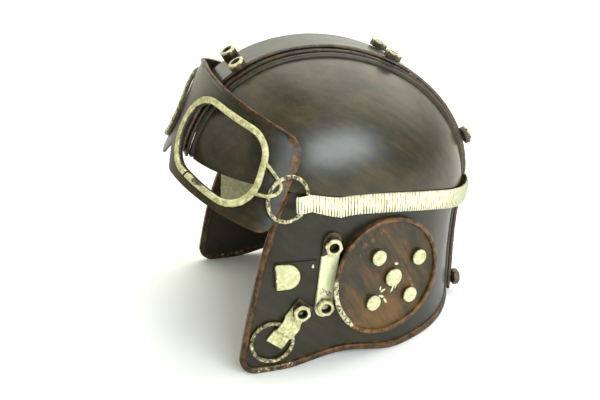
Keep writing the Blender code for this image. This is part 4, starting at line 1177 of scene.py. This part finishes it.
def make_panel(side, name):
    """The bent sheet and its rolled rim: rows run in from the rim to the top edge."""
    start = math.cos(0.2 * math.pi)
    rim = []
    for k in range(10):
        angle = math.pi * (0.2 + 0.8 * k / 9)
        rim.append((RIM_WIDTH * (start - math.cos(angle)) / (start + 1.0),
                    RIM_PROUD * max(0.0, math.sin(angle)) ** 0.8, RIM_BACK))
    rim.append((RIM_WIDTH + RIM_BEVEL, 0.0, WALL_SHEET))
    paths = [edge_path(inset) for inset, proud, back in rim]
    count = len(paths[0])
    front = flap_front_s(panel_front_top_z()) + 2.0 * RIM_WIDTH
    upright = FLAP_STEPS + CORNER_STEPS

    def at(k, r):
        if r < len(rim):
            (s, z), (inset, proud, back) = paths[r][k], rim[r]
        else:
            share = FLAP_SHARE * k / upright
            if k >= upright:
                share = mix(FLAP_SHARE, 1.0, (k - upright + 1) / (count - upright))
            top_s = mix(front, panel_end_s(WIDEST_Z), share)
            (base_s, base_z), reach = paths[-1][k], (r - len(rim) + 1) / PANEL_ROWS
            s, z = mix(base_s, top_s, reach), mix(base_z, panel_top_z(top_s), reach)
            proud, back = 0.0, WALL_SHEET
        s = min(s, panel_end_s(z))
        dent = ripple((s, z, 0.0), 34.0, 0.00022) - 0.00012
        points = (wall_point(s, z, lift) for lift in (proud + dent, -back))
        return [Vector((point.x * side, point.y, z)) for point in points]

    def edge(co):
        s = co.y - SHELL_Y
        level = FLAP_CORNER if s < 0.0 else FAR_FROM_EDGE
        return max(0.0, min(s - flap_front_s(co.z), co.z - panel_bottom_z(s), level) - 0.0040)

    def pale_patches(co):
        s, z = co.y - SHELL_Y, co.z
        if -0.075 < s < -0.040 and abs(z - panel_bottom_z(s) - 0.003) < 0.0022:
            return 0.50
        inside = (wall_point(s, z) - co).dot(wall_normal(s, z)) > 0.5 * WALL_SHEET
        # A pale cream patch on the right panel's inner face, near its front top
        if side < 0.0 and inside and s < 0.0:
            return 1.3 * blend(0.058, 0.064, z) * blend(-0.0625, -0.0595, s)
        return 0.0

    paint = lacquer(name, warm=(0.034, 0.027, 0.013), rub=0.75, width=0.0024, patches=0.10, gloss=0.34,
                    turn=42.0, bright=1.15, shine=0.34, brushed=0.5)
    finish(name, sheet(count, len(rim) + PANEL_ROWS, at), paint, SHEET_BEVEL,
           pale_patches, edge, side)


# Ear discs
def make_ear_disc(side, name):
    """A hollow pan with a rounded rim, whose wall meets the bent panel all round."""
    centre, axis, up, back = disc_axes()
    face = DISC_HEIGHT - DISC_RIM_RISE
    half = 0.5 * DISC_RIM_WIDTH
    flat = DISC_RADIUS - DISC_RIM_WIDTH - 0.0003
    # Columns: radius, height or none for the wall on the panel, share of the way up that wall
    rows = [(DISC_RADIUS, None, share) for share in (0.0, 0.4, 0.75)]
    for k in range(7):
        angle = math.pi * k / 6
        rows.append((DISC_RADIUS - half + half * math.cos(angle),
                     DISC_HEIGHT - DISC_RIM_ROUND + DISC_RIM_ROUND * math.sin(angle), 1.0))
    rows += [(DISC_RADIUS - DISC_RIM_WIDTH, face + 0.0006, 1.0)]
    rows += [(flat * (1.0 - k / DISC_ROWS), face, 1.0) for k in range(DISC_ROWS + 1)]
    rows += [(0.0, face - DISC_SHEET, 1.0), (DISC_RADIUS - DISC_SHEET, face - DISC_SHEET, 1.0),
             (DISC_RADIUS - DISC_SHEET, None, 0.0)]

    def place(radius, height, share, angle):
        arm = back * math.cos(angle) + up * math.sin(angle)
        if height is None:
            foot = centre + arm * (radius - DISC_UNDERCUT * max(0.0, -math.cos(angle)) ** 3)
            over_bar = blend(BAR_CLEAR_S, 0.0, onto_wall(foot, axis, GAP).y - SHELL_Y)
            low = onto_wall(foot, axis, GAP + over_bar * (PLATE_SHEET + GAP))
            return low.lerp(centre + arm * radius + axis * (DISC_HEIGHT - DISC_RIM_ROUND), share)
        if radius > 0.0:
            height += ripple((radius * math.cos(angle), radius * math.sin(angle), 0.3), 55.0, 0.0004) - 0.0001
        return centre + arm * radius + axis * height

    bm = new_mesh()
    add_rings(bm, [[mirrored(place(*row, angle), side) for angle in turns(DISC_SIDES)] for row in rows], True)
    bmesh.ops.remove_doubles(bm, verts=bm.verts, dist=2.0e-6)
    bmesh.ops.dissolve_degenerate(bm, dist=1.0e-6, edges=bm.edges)

    def local(co):
        arm = co - centre
        return arm.dot(back), arm.dot(up)

    def edge(co):
        return max(0.0, abs(math.hypot(*local(co)) - DISC_RADIUS + half) - 0.0008)

    def cream(co):
        u, v = local(co)
        angle = math.degrees(math.atan2(v, u)) % 360.0
        if math.hypot(u, v) > DISC_RADIUS - 0.0048:
            return 0.57 * blend(158.0, 172.0, angle) * blend(238.0, 222.0, angle)
        best = 0.0
        for du, dv, length, tilt in DISC_DAUBS:
            t = math.radians(tilt)
            a = (u - du) * math.cos(t) + (v - dv) * math.sin(t)
            b = -(u - du) * math.sin(t) + (v - dv) * math.cos(t)
            best = max(best, 0.86 - 0.5 * max(abs(a) / length - 0.6, 0.0) - 0.4 * abs(b) / 0.0011)
        return best

    paint = lacquer(name, dark=(0.026, 0.021, 0.010), warm=(0.150, 0.072, 0.018), rub=0.50, width=0.0020,
                    patches=0.95, gloss=0.34, turn=62.0, bright=2.0, shine=0.34)
    finish(name, bm, paint, 0.0, cream, edge, side)


def make_studs(side, prefix):
    """Five flat round studs, each a little uneven."""
    centre, axis, up, back = disc_axes()
    face = DISC_HEIGHT - DISC_RIM_RISE + GAP
    for number, (label, behind, above, radius) in enumerate(STUDS):
        place = centre + back * behind + up * above
        rings = []
        for share, tall in STUD_PROFILE:
            ring = []
            for angle in turns(STUD_SIDES):
                across, rise = math.cos(angle), math.sin(angle)
                rough = ripple((across * 0.01, rise * 0.01, 0.03 * number), 70.0, 0.05)
                point = place + (back * across + up * rise) * (radius * share * (0.985 + rough))
                dent = ripple(point, 230.0, 0.00035) - 0.0002 if tall == 1.0 else 0.0
                ring.append(mirrored(point + axis * (face + STUD_HEIGHT * tall + dent), side))
            rings.append(ring)
        bm = new_mesh()
        add_rings(bm, rings)

        def cover(co):
            return mix(0.10, 0.93, blend(0.45, 0.95, ((co - place).dot(axis) - face) / STUD_HEIGHT))

        name = prefix + "_stud_" + label
        paint = gold_paint(name, (0.80, 0.82, 0.48), (0.44, 0.40, 0.18), mottle=0.75, stain_and_shade=0.25)
        finish(name, bm, paint, 0.0, cover, side=side)


# Nuts, bars, plates and clips
def nut(name, centre, axis, way, side, top, flank):
    """A six-sided nut with chamfered corners and a threaded bore."""
    across = axis.cross(way).normalized()
    flat, bore = 0.5 * NUT_ACROSS_FLATS, 0.5 * NUT_BORE
    # Columns: share of the six-sided radius, radius added, height, fall towards the corners
    rows = [(1.0, -0.0004, 0.0, 0.0), (1.0, 0.0, 0.0004, 0.0), (1.0, 0.0, 0.5 * NUT_HEIGHT, 0.0),
            (1.0, 0.0, NUT_HEIGHT - 0.00045, NUT_FALL), (1.0, -0.00025, NUT_HEIGHT - 0.0002, NUT_FALL),
            (0.0, flat - 0.0006, NUT_HEIGHT, 0.0), (0.0, 0.5 * (flat + bore), NUT_HEIGHT, 0.0),
            (0.0, bore + 0.0009, NUT_HEIGHT, 0.0), (0.0, bore + 0.0002, NUT_HEIGHT - 0.0007, 0.0)]
    for k in range(9):
        groove = 0.0 if k % 2 else THREAD_DEPTH
        rows.append((0.0, bore + groove, NUT_HEIGHT - 0.0010 - THREAD_PITCH * k, 0.0))
    rows.append((0.0, bore, 0.0, 0.0))
    rings = []
    for share, more, height, fall in rows:
        ring = []
        for angle in turns(NUT_SIDES):
            corner = flat / math.cos((angle + math.pi / 6.0) % (math.pi / 3.0) - math.pi / 6.0)
            arm = way * math.cos(angle) + across * math.sin(angle)
            ring.append(mirrored(centre + arm * (corner * share + more)
                                 + axis * (height - fall * (corner - flat)), side))
        rings.append(ring)
    bm = new_mesh()
    add_rings(bm, rings, True)

    def cover(co):
        arm = co - centre
        high = arm.dot(axis) / NUT_HEIGHT
        out = (arm - axis * arm.dot(axis)).length
        # Inside the bore the cover falls below zero, which paints it black deep down: painted shade
        if out < bore + 0.0006:
            return mix(-1.0, 0.35, blend(0.84, 1.0, high))
        return mix(flank, top, blend(0.72, 0.95, high + (0.15 if out < flat else 0.0)))

    finish(name, bm, gold_paint(name, mottle=0.85, chip=1.2, stain_and_shade=0.45), cover=cover, side=side)


def wall_nut(name, side, s, z, lift, turn, flank):
    axis = wall_normal(s, z)
    along = (wall_point(s + 0.001, z) - wall_point(s, z)).normalized()
    up = axis.cross(along)
    way = along * math.cos(turn) + up * math.sin(turn)
    nut(name, wall_point(s, z, lift), axis, way, side, 0.95, flank)


def make_crest_nuts(side, prefix):
    for label, turn in CREST_NUT_TURNS:
        x = CREST_HALF_WIDTH
        along = (crest_point(turn + 0.5, x, 0.0) - crest_point(turn - 0.5, x, 0.0)).normalized()
        axis = Vector((0.0, -along.z, along.y))
        top = 0.15 if label == "nape" else 0.85
        nut(prefix + "_crest_nut_" + label, crest_point(turn, x, -GAP), axis, along, side, top, 0.12)


def make_bar(side, prefix):
    """The upright bar with round ends, and its two nuts."""
    name = prefix + "_bar"
    low_end, high_end = Vector(BAR_LOWER), Vector(BAR_UPPER)
    along = (high_end - low_end).normalized()
    half = 0.5 * BAR_WIDTH
    first, last = low_end - along * (BAR_END - half), high_end + along * (BAR_END - half)

    def spine(p):
        return first + along * min((last - first).length, max(0.0, (p - first).dot(along)))

    def cover(co):
        place = Vector((co.y - SHELL_Y, co.z)) - low_end
        reach = place.dot(along) / (high_end - low_end).length
        across = place.dot(Vector((-along.y, along.x)))
        bald = blend(0.86, 0.93, reach + 14.0 * across * blend(0.5, 0.9, reach))
        rough = blend(0.36, 0.27, reach) * blend(0.05, 0.14, reach)
        return mix(mix(0.97, 0.55, rough), 0.02, bald)

    bm = plate(capsule(BAR_LOWER, BAR_UPPER, half, BAR_END, 14), spine, side, GAP, PLATE_SHEET,
               PLATE_BEVEL, 9)
    paint = gold_paint(name, (0.90, 0.92, 0.57), (0.50, 0.47, 0.20), mottle=0.2, chip=0.3)
    finish(name, bm, paint, 0.0, cover, side=side)
    for label, (s, z), flank in (("upper", BAR_UPPER, 0.30), ("lower", BAR_LOWER, 0.50)):
        wall_nut(prefix + "_bar_nut_" + label, side, s, z, PLATE_SHEET + 2.0 * GAP, 0.3, flank)


def make_thin_plate(side, name):
    (s0, s1), (z0, z1) = THIN_PLATE_S, THIN_PLATE_Z
    middle = Vector((0.5 * (s0 + s1), 0.5 * (z0 + z1)))

    def fleck(co):
        return 0.95 - 0.45 * math.hypot((co.y - SHELL_Y - FLECK[0]) / 0.0011, (co.z - FLECK[1]) / 0.0024)

    bm = plate([(s0, z0), (s1, z0), (s1, z1), (s0, z1)], lambda p: middle, side, GAP, THIN_PLATE, 0.0003, 12)
    paint = lacquer(name, rub=0.5, width=0.0006, patches=0.1, turn=42.0, shine=0.30)
    finish(name, bm, paint, 0.0, fleck, side=side)


def make_tab(side, name):
    (s0, s1), (z0, z1) = TAB_S, TAB_Z
    radius = 0.5 * (z1 - z0)
    middle = Vector((s1 - radius, z0 + radius))
    outline = [(s0, z0), (s1 - radius, z0)]
    for k in range(1, 24):
        angle = math.pi * (k / 24 - 0.5)
        outline.append((middle.x + radius * math.cos(angle), middle.y + radius * math.sin(angle)))
    outline += [(s1 - radius, z1), (s0, z1)]
    base = 2.0 * GAP + THIN_PLATE

    def cover(co):
        lift = (co - wall_point(co.y - SHELL_Y, co.z)).length
        flat_end = blend(s0 + 0.0026, s0 + 0.0004, co.y - SHELL_Y)
        return mix(0.15, 0.97, blend(base + 0.4 * TAB_SHEET, base + 0.95 * TAB_SHEET, lift)) - 0.62 * flat_end

    paint = gold_paint(name, (0.73, 0.75, 0.42), (0.46, 0.43, 0.19), mottle=0.6, stain_and_shade=0.2)
    finish(name, plate(outline, lambda p: middle, side, base, TAB_SHEET, PLATE_BEVEL, 9), paint,
           0.0, cover, side=side)


def make_clip(side, prefix):
    """The short strip that bridges the lower ring's wire, and its nut."""
    name = prefix + "_clip"
    nut_place, end = Vector(CLIP_NUT), Vector(CLIP_END)
    along = (end - nut_place).normalized()
    across = Vector((-along.y, along.x)) * (0.5 * CLIP_WIDTH)
    crossing = (Vector(LOWER_RING_CENTRE) - nut_place).length - LOWER_RING_RADIUS
    last = (end - nut_place).length

    def at(i, j):
        reach = mix(-CLIP_BEYOND_NUT, last, i / CLIP_STEPS)
        hump = 1.0
        for way in (-1.0, 1.0):
            hump *= blend(crossing + way * (CLIP_FLAT + CLIP_SLOPE), crossing + way * CLIP_FLAT, reach)
        lift = mix(GAP, 2.0 * (WIRE_RADIUS + GAP), hump)
        place = nut_place + along * reach + across * (2.0 * j / CLIP_ROWS - 1.0)
        dent = ripple((place.x, place.y, 0.5), 150.0, 0.0002) - 0.0001
        return [mirrored(wall_point(place.x, place.y, up), side) for up in (lift + CLIP_SHEET + dent, lift)]

    def cover(co):
        reach = (Vector((co.y - SHELL_Y, co.z)) - nut_place).dot(along)
        return 0.52 * blend(-0.006, 0.003, reach) + 0.40 * blend(0.004, 0.016, reach)

    paint = gold_paint(name, (0.84, 0.84, 0.46), mottle=0.8, chip=1.4, stain_and_shade=0.35)
    finish(name, sheet(CLIP_STEPS + 1, CLIP_ROWS + 1, at), paint, 0.0004, cover, side=side)
    wall_nut(name + "_nut", side, nut_place.x, nut_place.y, CLIP_SHEET + 2.0 * GAP, 0.1, 0.12)


def make_ring(side, name, place, held, stain_and_shade):
    """A closed wire ring; place(angle) gives its centre line, held says how well its paint holds."""
    bm = new_mesh()
    wire(bm, [mirrored(place(angle), side) for angle in turns(RING_STEPS)], WIRE_RADIUS - 0.00005,
         closed=True, rough=0.08)
    finish(name, bm, gold_paint(name, mottle=0.9, stain_and_shade=stain_and_shade),
           cover=lambda co: held, edge=None)


def make_rings(side, prefix):
    centre, forward, upward, outward = strap_ring_frame()

    def on_panel(angle):
        return wall_point(LOWER_RING_CENTRE[0] + LOWER_RING_RADIUS * math.cos(angle),
                          LOWER_RING_CENTRE[1] + LOWER_RING_RADIUS * math.sin(angle), WIRE_RADIUS + GAP)

    def on_strap(angle):
        return centre + (forward * math.cos(angle) + upward * math.sin(angle)) * STRAP_RING_RADIUS

    make_ring(side, prefix + "_lower_ring", on_panel, 0.58, 0.7)
    make_ring(side, prefix + "_strap_ring", on_strap, 0.60, 0.8)


# Goggles
def eye_angles(count):
    """Even directions round the eye, with those of the nose's corners among them."""
    s0, t0 = eye_centre()
    special = [math.atan2(t - t0, s - s0) for s, t in (
        (0.0, 0.0), (0.0, MASK_HEIGHT - NOSE_NOTCH_RISE), (NOSE_NOTCH_HALF, MASK_HEIGHT))]
    step = 2.0 * math.pi / count
    angles = [angle for angle in (-math.pi + step * i for i in range(count))
              if all(abs(angle - other) > 0.4 * step for other in special)]
    return sorted(angles + special)


def add_mask_half(bm, side):
    """Half of the bent sheet: rows of points run from its edge in to the eye opening."""
    edge, hole = mask_outline(), frame_outline(FRAME_WIDTH)
    slope = MASK_TOP_END[1] / MASK_TOP_END[0]
    layer, pale = bm.verts.layers.float["edge"], bm.verts.layers.float["cover"]
    out, low = [], []
    for angle in eye_angles(MASK_RAYS):
        outer, inner = Vector(ray_hit(edge, angle)), Vector(ray_hit(hole, angle))
        span = (inner - outer).length
        lip = MASK_LIP_PROUD * blend(0.004, 0.001, outer.y - abs(outer.x) * slope)
        rows = [(0.0, 0.3 * lip), (0.0004, 0.75 * lip), (0.0010, lip), (0.5 * MASK_LIP, 1.05 * lip),
                (MASK_LIP - 0.0006, lip), (MASK_LIP + 0.0002, 0.55 * lip), (MASK_LIP + 0.0010, 0.1 * lip)]
        rows += [(mix(MASK_LIP + 0.0010, span, k / MASK_ROWS), 0.0) for k in range(1, MASK_ROWS + 1)]
        for grid in (out, low):
            line = []
            for inset, proud in rows:
                place = outer.lerp(inner, inset / span)
                wave = ripple((place.x, place.y, 0.7), 40.0, 0.0002) - 0.0001
                lift = proud + wave if grid is out else -MASK_SHEET
                vert = bm.verts.new(mask_point(side * max(0.0, place.x), place.y, lift))
                end = 0.9 * blend(0.104, 0.130, place.x) * blend(0.070, 0.040, place.y)
                vert[layer] = mix(inset if lip > 0.0004 else inset + 0.0012, 0.0011, end)
                # Painted sheen on the mask's top near the nose, carried in the cover value
                vert[pale] = 0.36 * blend(0.075, 0.010, place.x) * blend(0.050, 0.008, place.y)
                line.append(vert)
            grid.append(line)
    for i, (out_here, low_here) in enumerate(zip(out, low)):
        out_next, low_next = out[(i + 1) % len(out)], low[(i + 1) % len(out)]
        for r in range(len(out_here) - 1):
            bm.faces.new((out_here[r], out_next[r], out_next[r + 1], out_here[r + 1]))
            bm.faces.new((low_here[r], low_here[r + 1], low_next[r + 1], low_next[r]))
        bm.faces.new((out_here[-1], out_next[-1], low_next[-1], low_here[-1]))
        if max(abs(out_here[0].co.x), abs(out_next[0].co.x)) >= 1.0e-6:
            bm.faces.new((out_here[0], low_here[0], low_next[0], out_next[0]))


def make_mask():
    bm = new_mesh()
    for side, prefix in SIDES:
        add_mask_half(bm, side)
    bmesh.ops.remove_doubles(bm, verts=bm.verts, dist=1.0e-5)
    paint = lacquer("goggle_mask", warm=(0.052, 0.034, 0.013), rub=0.9, width=0.0030, patches=0.30,
                    gloss=0.32, turn=30.0, shine=0.27, brushed=0.6, painted_sheen=1.0)
    finish("goggle_mask", bm, paint, 0.00035, edge=None)


def make_frame(side, name):
    """The flat bar round one eye opening, with the wire link soldered to its rear side."""
    face, corner = FRAME_PROUD, FRAME_CHAMFER
    # Columns: inset from the bar's outer edge, lift, how well the paint holds
    rows = ((0.0, GAP, 0.20), (0.5 * FRAME_WIDTH, GAP, 0.20), (FRAME_WIDTH, GAP, 0.10),
            (FRAME_WIDTH, 0.5 * face, 0.47), (FRAME_WIDTH, face - corner, 0.66),
            (FRAME_WIDTH - 0.35 * corner, face - 0.3 * corner, 0.68), (FRAME_WIDTH - corner, face, 0.72),
            (0.66 * FRAME_WIDTH, face, 0.78), (0.34 * FRAME_WIDTH, face, 0.80), (1.3 * corner, face, 0.84),
            (0.45 * corner, face - 0.35 * corner, 0.86), (0.0, face - 1.2 * corner, 0.66),
            (0.0, 0.5 * face, 0.45))
    outlines = [frame_outline(inset) for inset, lift, held in rows]
    cut, scar_way = math.radians(FRAME_CUT_BEARING), math.radians(FRAME_SCAR_BEARING)
    s0, t0 = eye_centre()
    angles = sorted(eye_angles(FRAME_RAYS) + [cut + off for off in (-0.030, -0.020, 0.020, 0.030)])
    pinches = [blend(0.031, 0.021, abs((a - cut + math.pi) % (2.0 * math.pi) - math.pi)) for a in angles]
    rings = []
    for angle, pinch in zip(angles, pinches):
        ring = []
        for outline, (inset, lift, held) in zip(outlines, rows):
            s, t = ray_hit(outline, angle)
            jag = 12.0 * max(0.0, ripple((s, t, 0.2), 420.0, 0.0007) * blend(0.5, 1.0, inset / FRAME_WIDTH))
            hammer = (ripple((s, t, 0.9), 150.0, 0.00035) - 0.00015) * blend(0.5, 0.9, lift / face)
            ring.append(mask_point(side * mix(s, s0, jag), mix(t, t0, jag),
                                   mix(lift + hammer, min(lift, 0.35 * face), pinch)))
        rings.append(ring)
    bm = new_mesh()
    grid = add_rings(bm, rings, True)
    link = smooth_curve([mask_point(side * s, t, lift) for s, t, lift in LINK_PATH], LINK_STEPS)
    wire(bm, link, LINK_WIRE_RADIUS, 12, rough=0.10)
    layer = bm.verts.layers.float["cover"]
    for vert in bm.verts:
        vert[layer] = 0.60
    for angle, pinch, ring in zip(angles, pinches, grid):
        scar = blend(0.26, 0.12, abs(angle - scar_way))
        for k, (vert, (inset, lift, held)) in enumerate(zip(ring, rows)):
            held -= 0.40 * scar * blend(10.0, 6.0, k)
            # At the cut the cover falls to -1, which paints the notch black: painted shade
            vert[layer] = mix(held * (1.0 if side > 0.0 else 0.72), -1.0, pinch)
    # The far (right) frame, with 0.72 of the paint cover above and more stain here, is darkened: painted
    # shade
    paint = gold_paint(name, (0.70, 0.69, 0.38), (0.40, 0.37, 0.14), mottle=0.9, chip=0.2,
                       stain_and_shade=0.45 if side > 0.0 else 0.8)
    finish(name, bm, paint)


# Strap
def strap_route():
    """Sections of the plain strap from the left ring round the back to the right ring."""
    loop = strap_loop_sections()
    middle = 0.5 * math.pi * (CREST_REACH_BACK - WALL_UNDER_CREST)
    along = [strap_wall_section(mix(STRAP_JOIN_S, middle, i / STRAP_SECTIONS))
             for i in range(STRAP_SECTIONS + 1)]
    for point in along[-1]:
        point.x = 0.0
    half = loop[:]
    for k in range(1, 6):
        down, into = min(1.0, k / 4), blend(0.25, 1.0, k / 6)
        half.append([Vector((mix(a.x, b.x, into), mix(a.y, b.y, k / 6), mix(a.z, b.z, down)))
                     for a, b in zip(loop[-1], along[0])])
    half += along
    return half + [[mirrored(p, -1.0) for p in section] for section in reversed(half[:-1])]


def make_strap():
    """Ribbed webbing: the plain route is cut into ribs, with a toothed lower edge."""
    route = strap_route()
    lengths = [0.0]
    for before, after in zip(route, route[1:]):
        lengths.append(lengths[-1] + (0.25 * sum(after, Vector()) - 0.25 * sum(before, Vector())).length)
    count = int(lengths[-1] / RIB_PITCH * STEPS_PER_RIB)
    rings, marks = [], []
    k = 0
    for i in range(count + 1):
        reach = lengths[-1] * i / count
        while k < len(lengths) - 2 and lengths[k + 1] < reach:
            k += 1
        u = (reach - lengths[k]) / (lengths[k + 1] - lengths[k])
        low_in, high_in, high_out, low_out = (a.lerp(b, u) for a, b in zip(route[k], route[k + 1]))
        number = math.floor(reach / RIB_PITCH)
        wave = (0.5 - 0.5 * math.cos(2.0 * math.pi * (reach / RIB_PITCH - number))) ** 0.45
        jitter = noise.noise(Vector((number * 3.7, 1.3, 0.0)))
        tooth = (1.0 - wave) * 0.0008 + 0.0003 * jitter
        groove = (1.0 - wave) * (0.0007 + 0.0002 * jitter)
        upward = (high_out - low_out).normalized()
        outward = (low_out - low_in).normalized()
        size = (high_out - low_out).length
        ring, values = [], []
        for share in (0.0, 0.04, 0.12, 0.25, 0.4, 0.55, 0.7, 0.85, 0.95, 1.0):
            up = low_out + upward * (mix(tooth + 0.0002, size - 0.3 * tooth - 0.0001, share))
            swell = math.sqrt(max(0.0, 1.0 - (2.0 * share - 1.0) ** 6))
            thin = 0.0002 + groove + (1.0 - swell) * 0.0006
            thin += 0.00012 * noise.noise(Vector((number * 2.1, share * 3.0, 5.0)))
            ring.append(up - outward * thin)
            held = 0.30 + 0.6 * noise.noise(Vector((number * 5.1, share * 2.6, 9.0)))
            low_edge = blend(0.45, 0.0, share)
            # Cover is high on the rib crests and low in the grooves, where it paints groove shade; its random
            # part lets brown specks through
            values.append(mix(held + 0.06 * share - 0.26 * low_edge, 0.95 - 0.14 * low_edge, wave))
        for share in (1.0, 0.5, 0.0):
            ring.append(low_in + upward * (size * share))
            values.append(0.35)
        rings.append(ring)
        marks.append(values)
    bm = new_mesh()
    cover, rear_shade = bm.verts.layers.float["cover"], bm.verts.layers.float["edge"]
    grid = add_rings(bm, rings)
    cap_ends(bm, grid)
    for row, values in zip(grid, marks):
        for vert, value in zip(row, values):
            vert[cover] = value
            # Painted shade: the webbing turns greyer towards the back
            vert[rear_shade] = blend(0.062, 0.118, vert.co.y)
    finish("strap", bm, webbing_paint("strap"), edge=None, piece_name="strap_webbing")


# Camera, floor and light
def bearing_way(azimuth, elevation):
    """Direction at a bearing from the front (0) towards the wearer's left (90)."""
    a, e = math.radians(azimuth), math.radians(elevation)
    return Vector((math.sin(a) * math.cos(e), -math.cos(a) * math.cos(e), math.sin(e)))


def add_object(name, data, location, way=None):
    made = bpy.data.objects.new(name, data)
    made.location = location
    if way:
        made.rotation_mode = "QUATERNION"
        made.rotation_quaternion = (-way).to_track_quat("-Z", "Y")
    bpy.context.scene.collection.objects.link(made)
    return made


def make_camera():
    way = bearing_way(CAMERA_AZIMUTH, CAMERA_ELEVATION)
    data = bpy.data.cameras.new("camera")
    data.sensor_width = 36.0
    data.lens = CAMERA_LENS
    data.clip_start, data.clip_end = 0.01, 50.0
    bpy.context.scene.camera = add_object("camera", data, CAMERA_TARGET + SHIFT + way * CAMERA_DISTANCE, way)


def make_floor():
    bm = bmesh.new()
    bmesh.ops.create_grid(bm, x_segments=8, y_segments=8, size=FLOOR_HALF)
    mesh = bpy.data.meshes.new("floor")
    bm.to_mesh(mesh)
    bm.free()
    mesh.materials.append(floor_paint("pale_floor"))
    add_object("floor", mesh, (0.0, 0.0, -0.0002))


def make_light():
    for name, azimuth, elevation, distance, size, power, colour in LIGHTS:
        data = bpy.data.lights.new(name, "AREA")
        data.shape = "RECTANGLE"
        data.size, data.size_y = size
        data.energy = power
        data.color = colour
        way = bearing_way(azimuth, elevation)
        add_object(name, data, LIGHT_TARGET + way * distance, way)
    world = bpy.data.worlds.new("studio")
    sky = Tree(world)
    direction = sky.node("TexCoord", {}).outputs["Generated"]
    toward = sky.node("VectorMath", {0: direction, 1: SKY_BRIGHT_WAY}, operation="DOT_PRODUCT")
    colour = sky.mixed(sky.step(toward.outputs["Value"], 0.05, 0.75), SKY_DIM, SKY_BRIGHT)
    sky.put(sky.tree.nodes["Background"].inputs["Color"], colour)
    bpy.context.scene.world = world
    bpy.context.scene.view_settings.view_transform = "Standard"


def main():
    make_camera()
    for side, prefix in SIDES:
        make_dome(side, prefix + "_dome")
        make_panel(side, prefix + "_ear_panel")
        make_ear_disc(side, prefix + "_ear_disc")
        make_studs(side, prefix)
        make_bar(side, prefix)
        make_thin_plate(side, prefix + "_thin_plate")
        make_tab(side, prefix + "_half_round_tab")
        make_clip(side, prefix)
        make_rings(side, prefix)
        make_frame(side, prefix + "_goggle_frame")
        make_crest_nuts(side, prefix)
    make_crest()
    make_mask()
    make_strap()
    make_floor()
    make_light()


main()
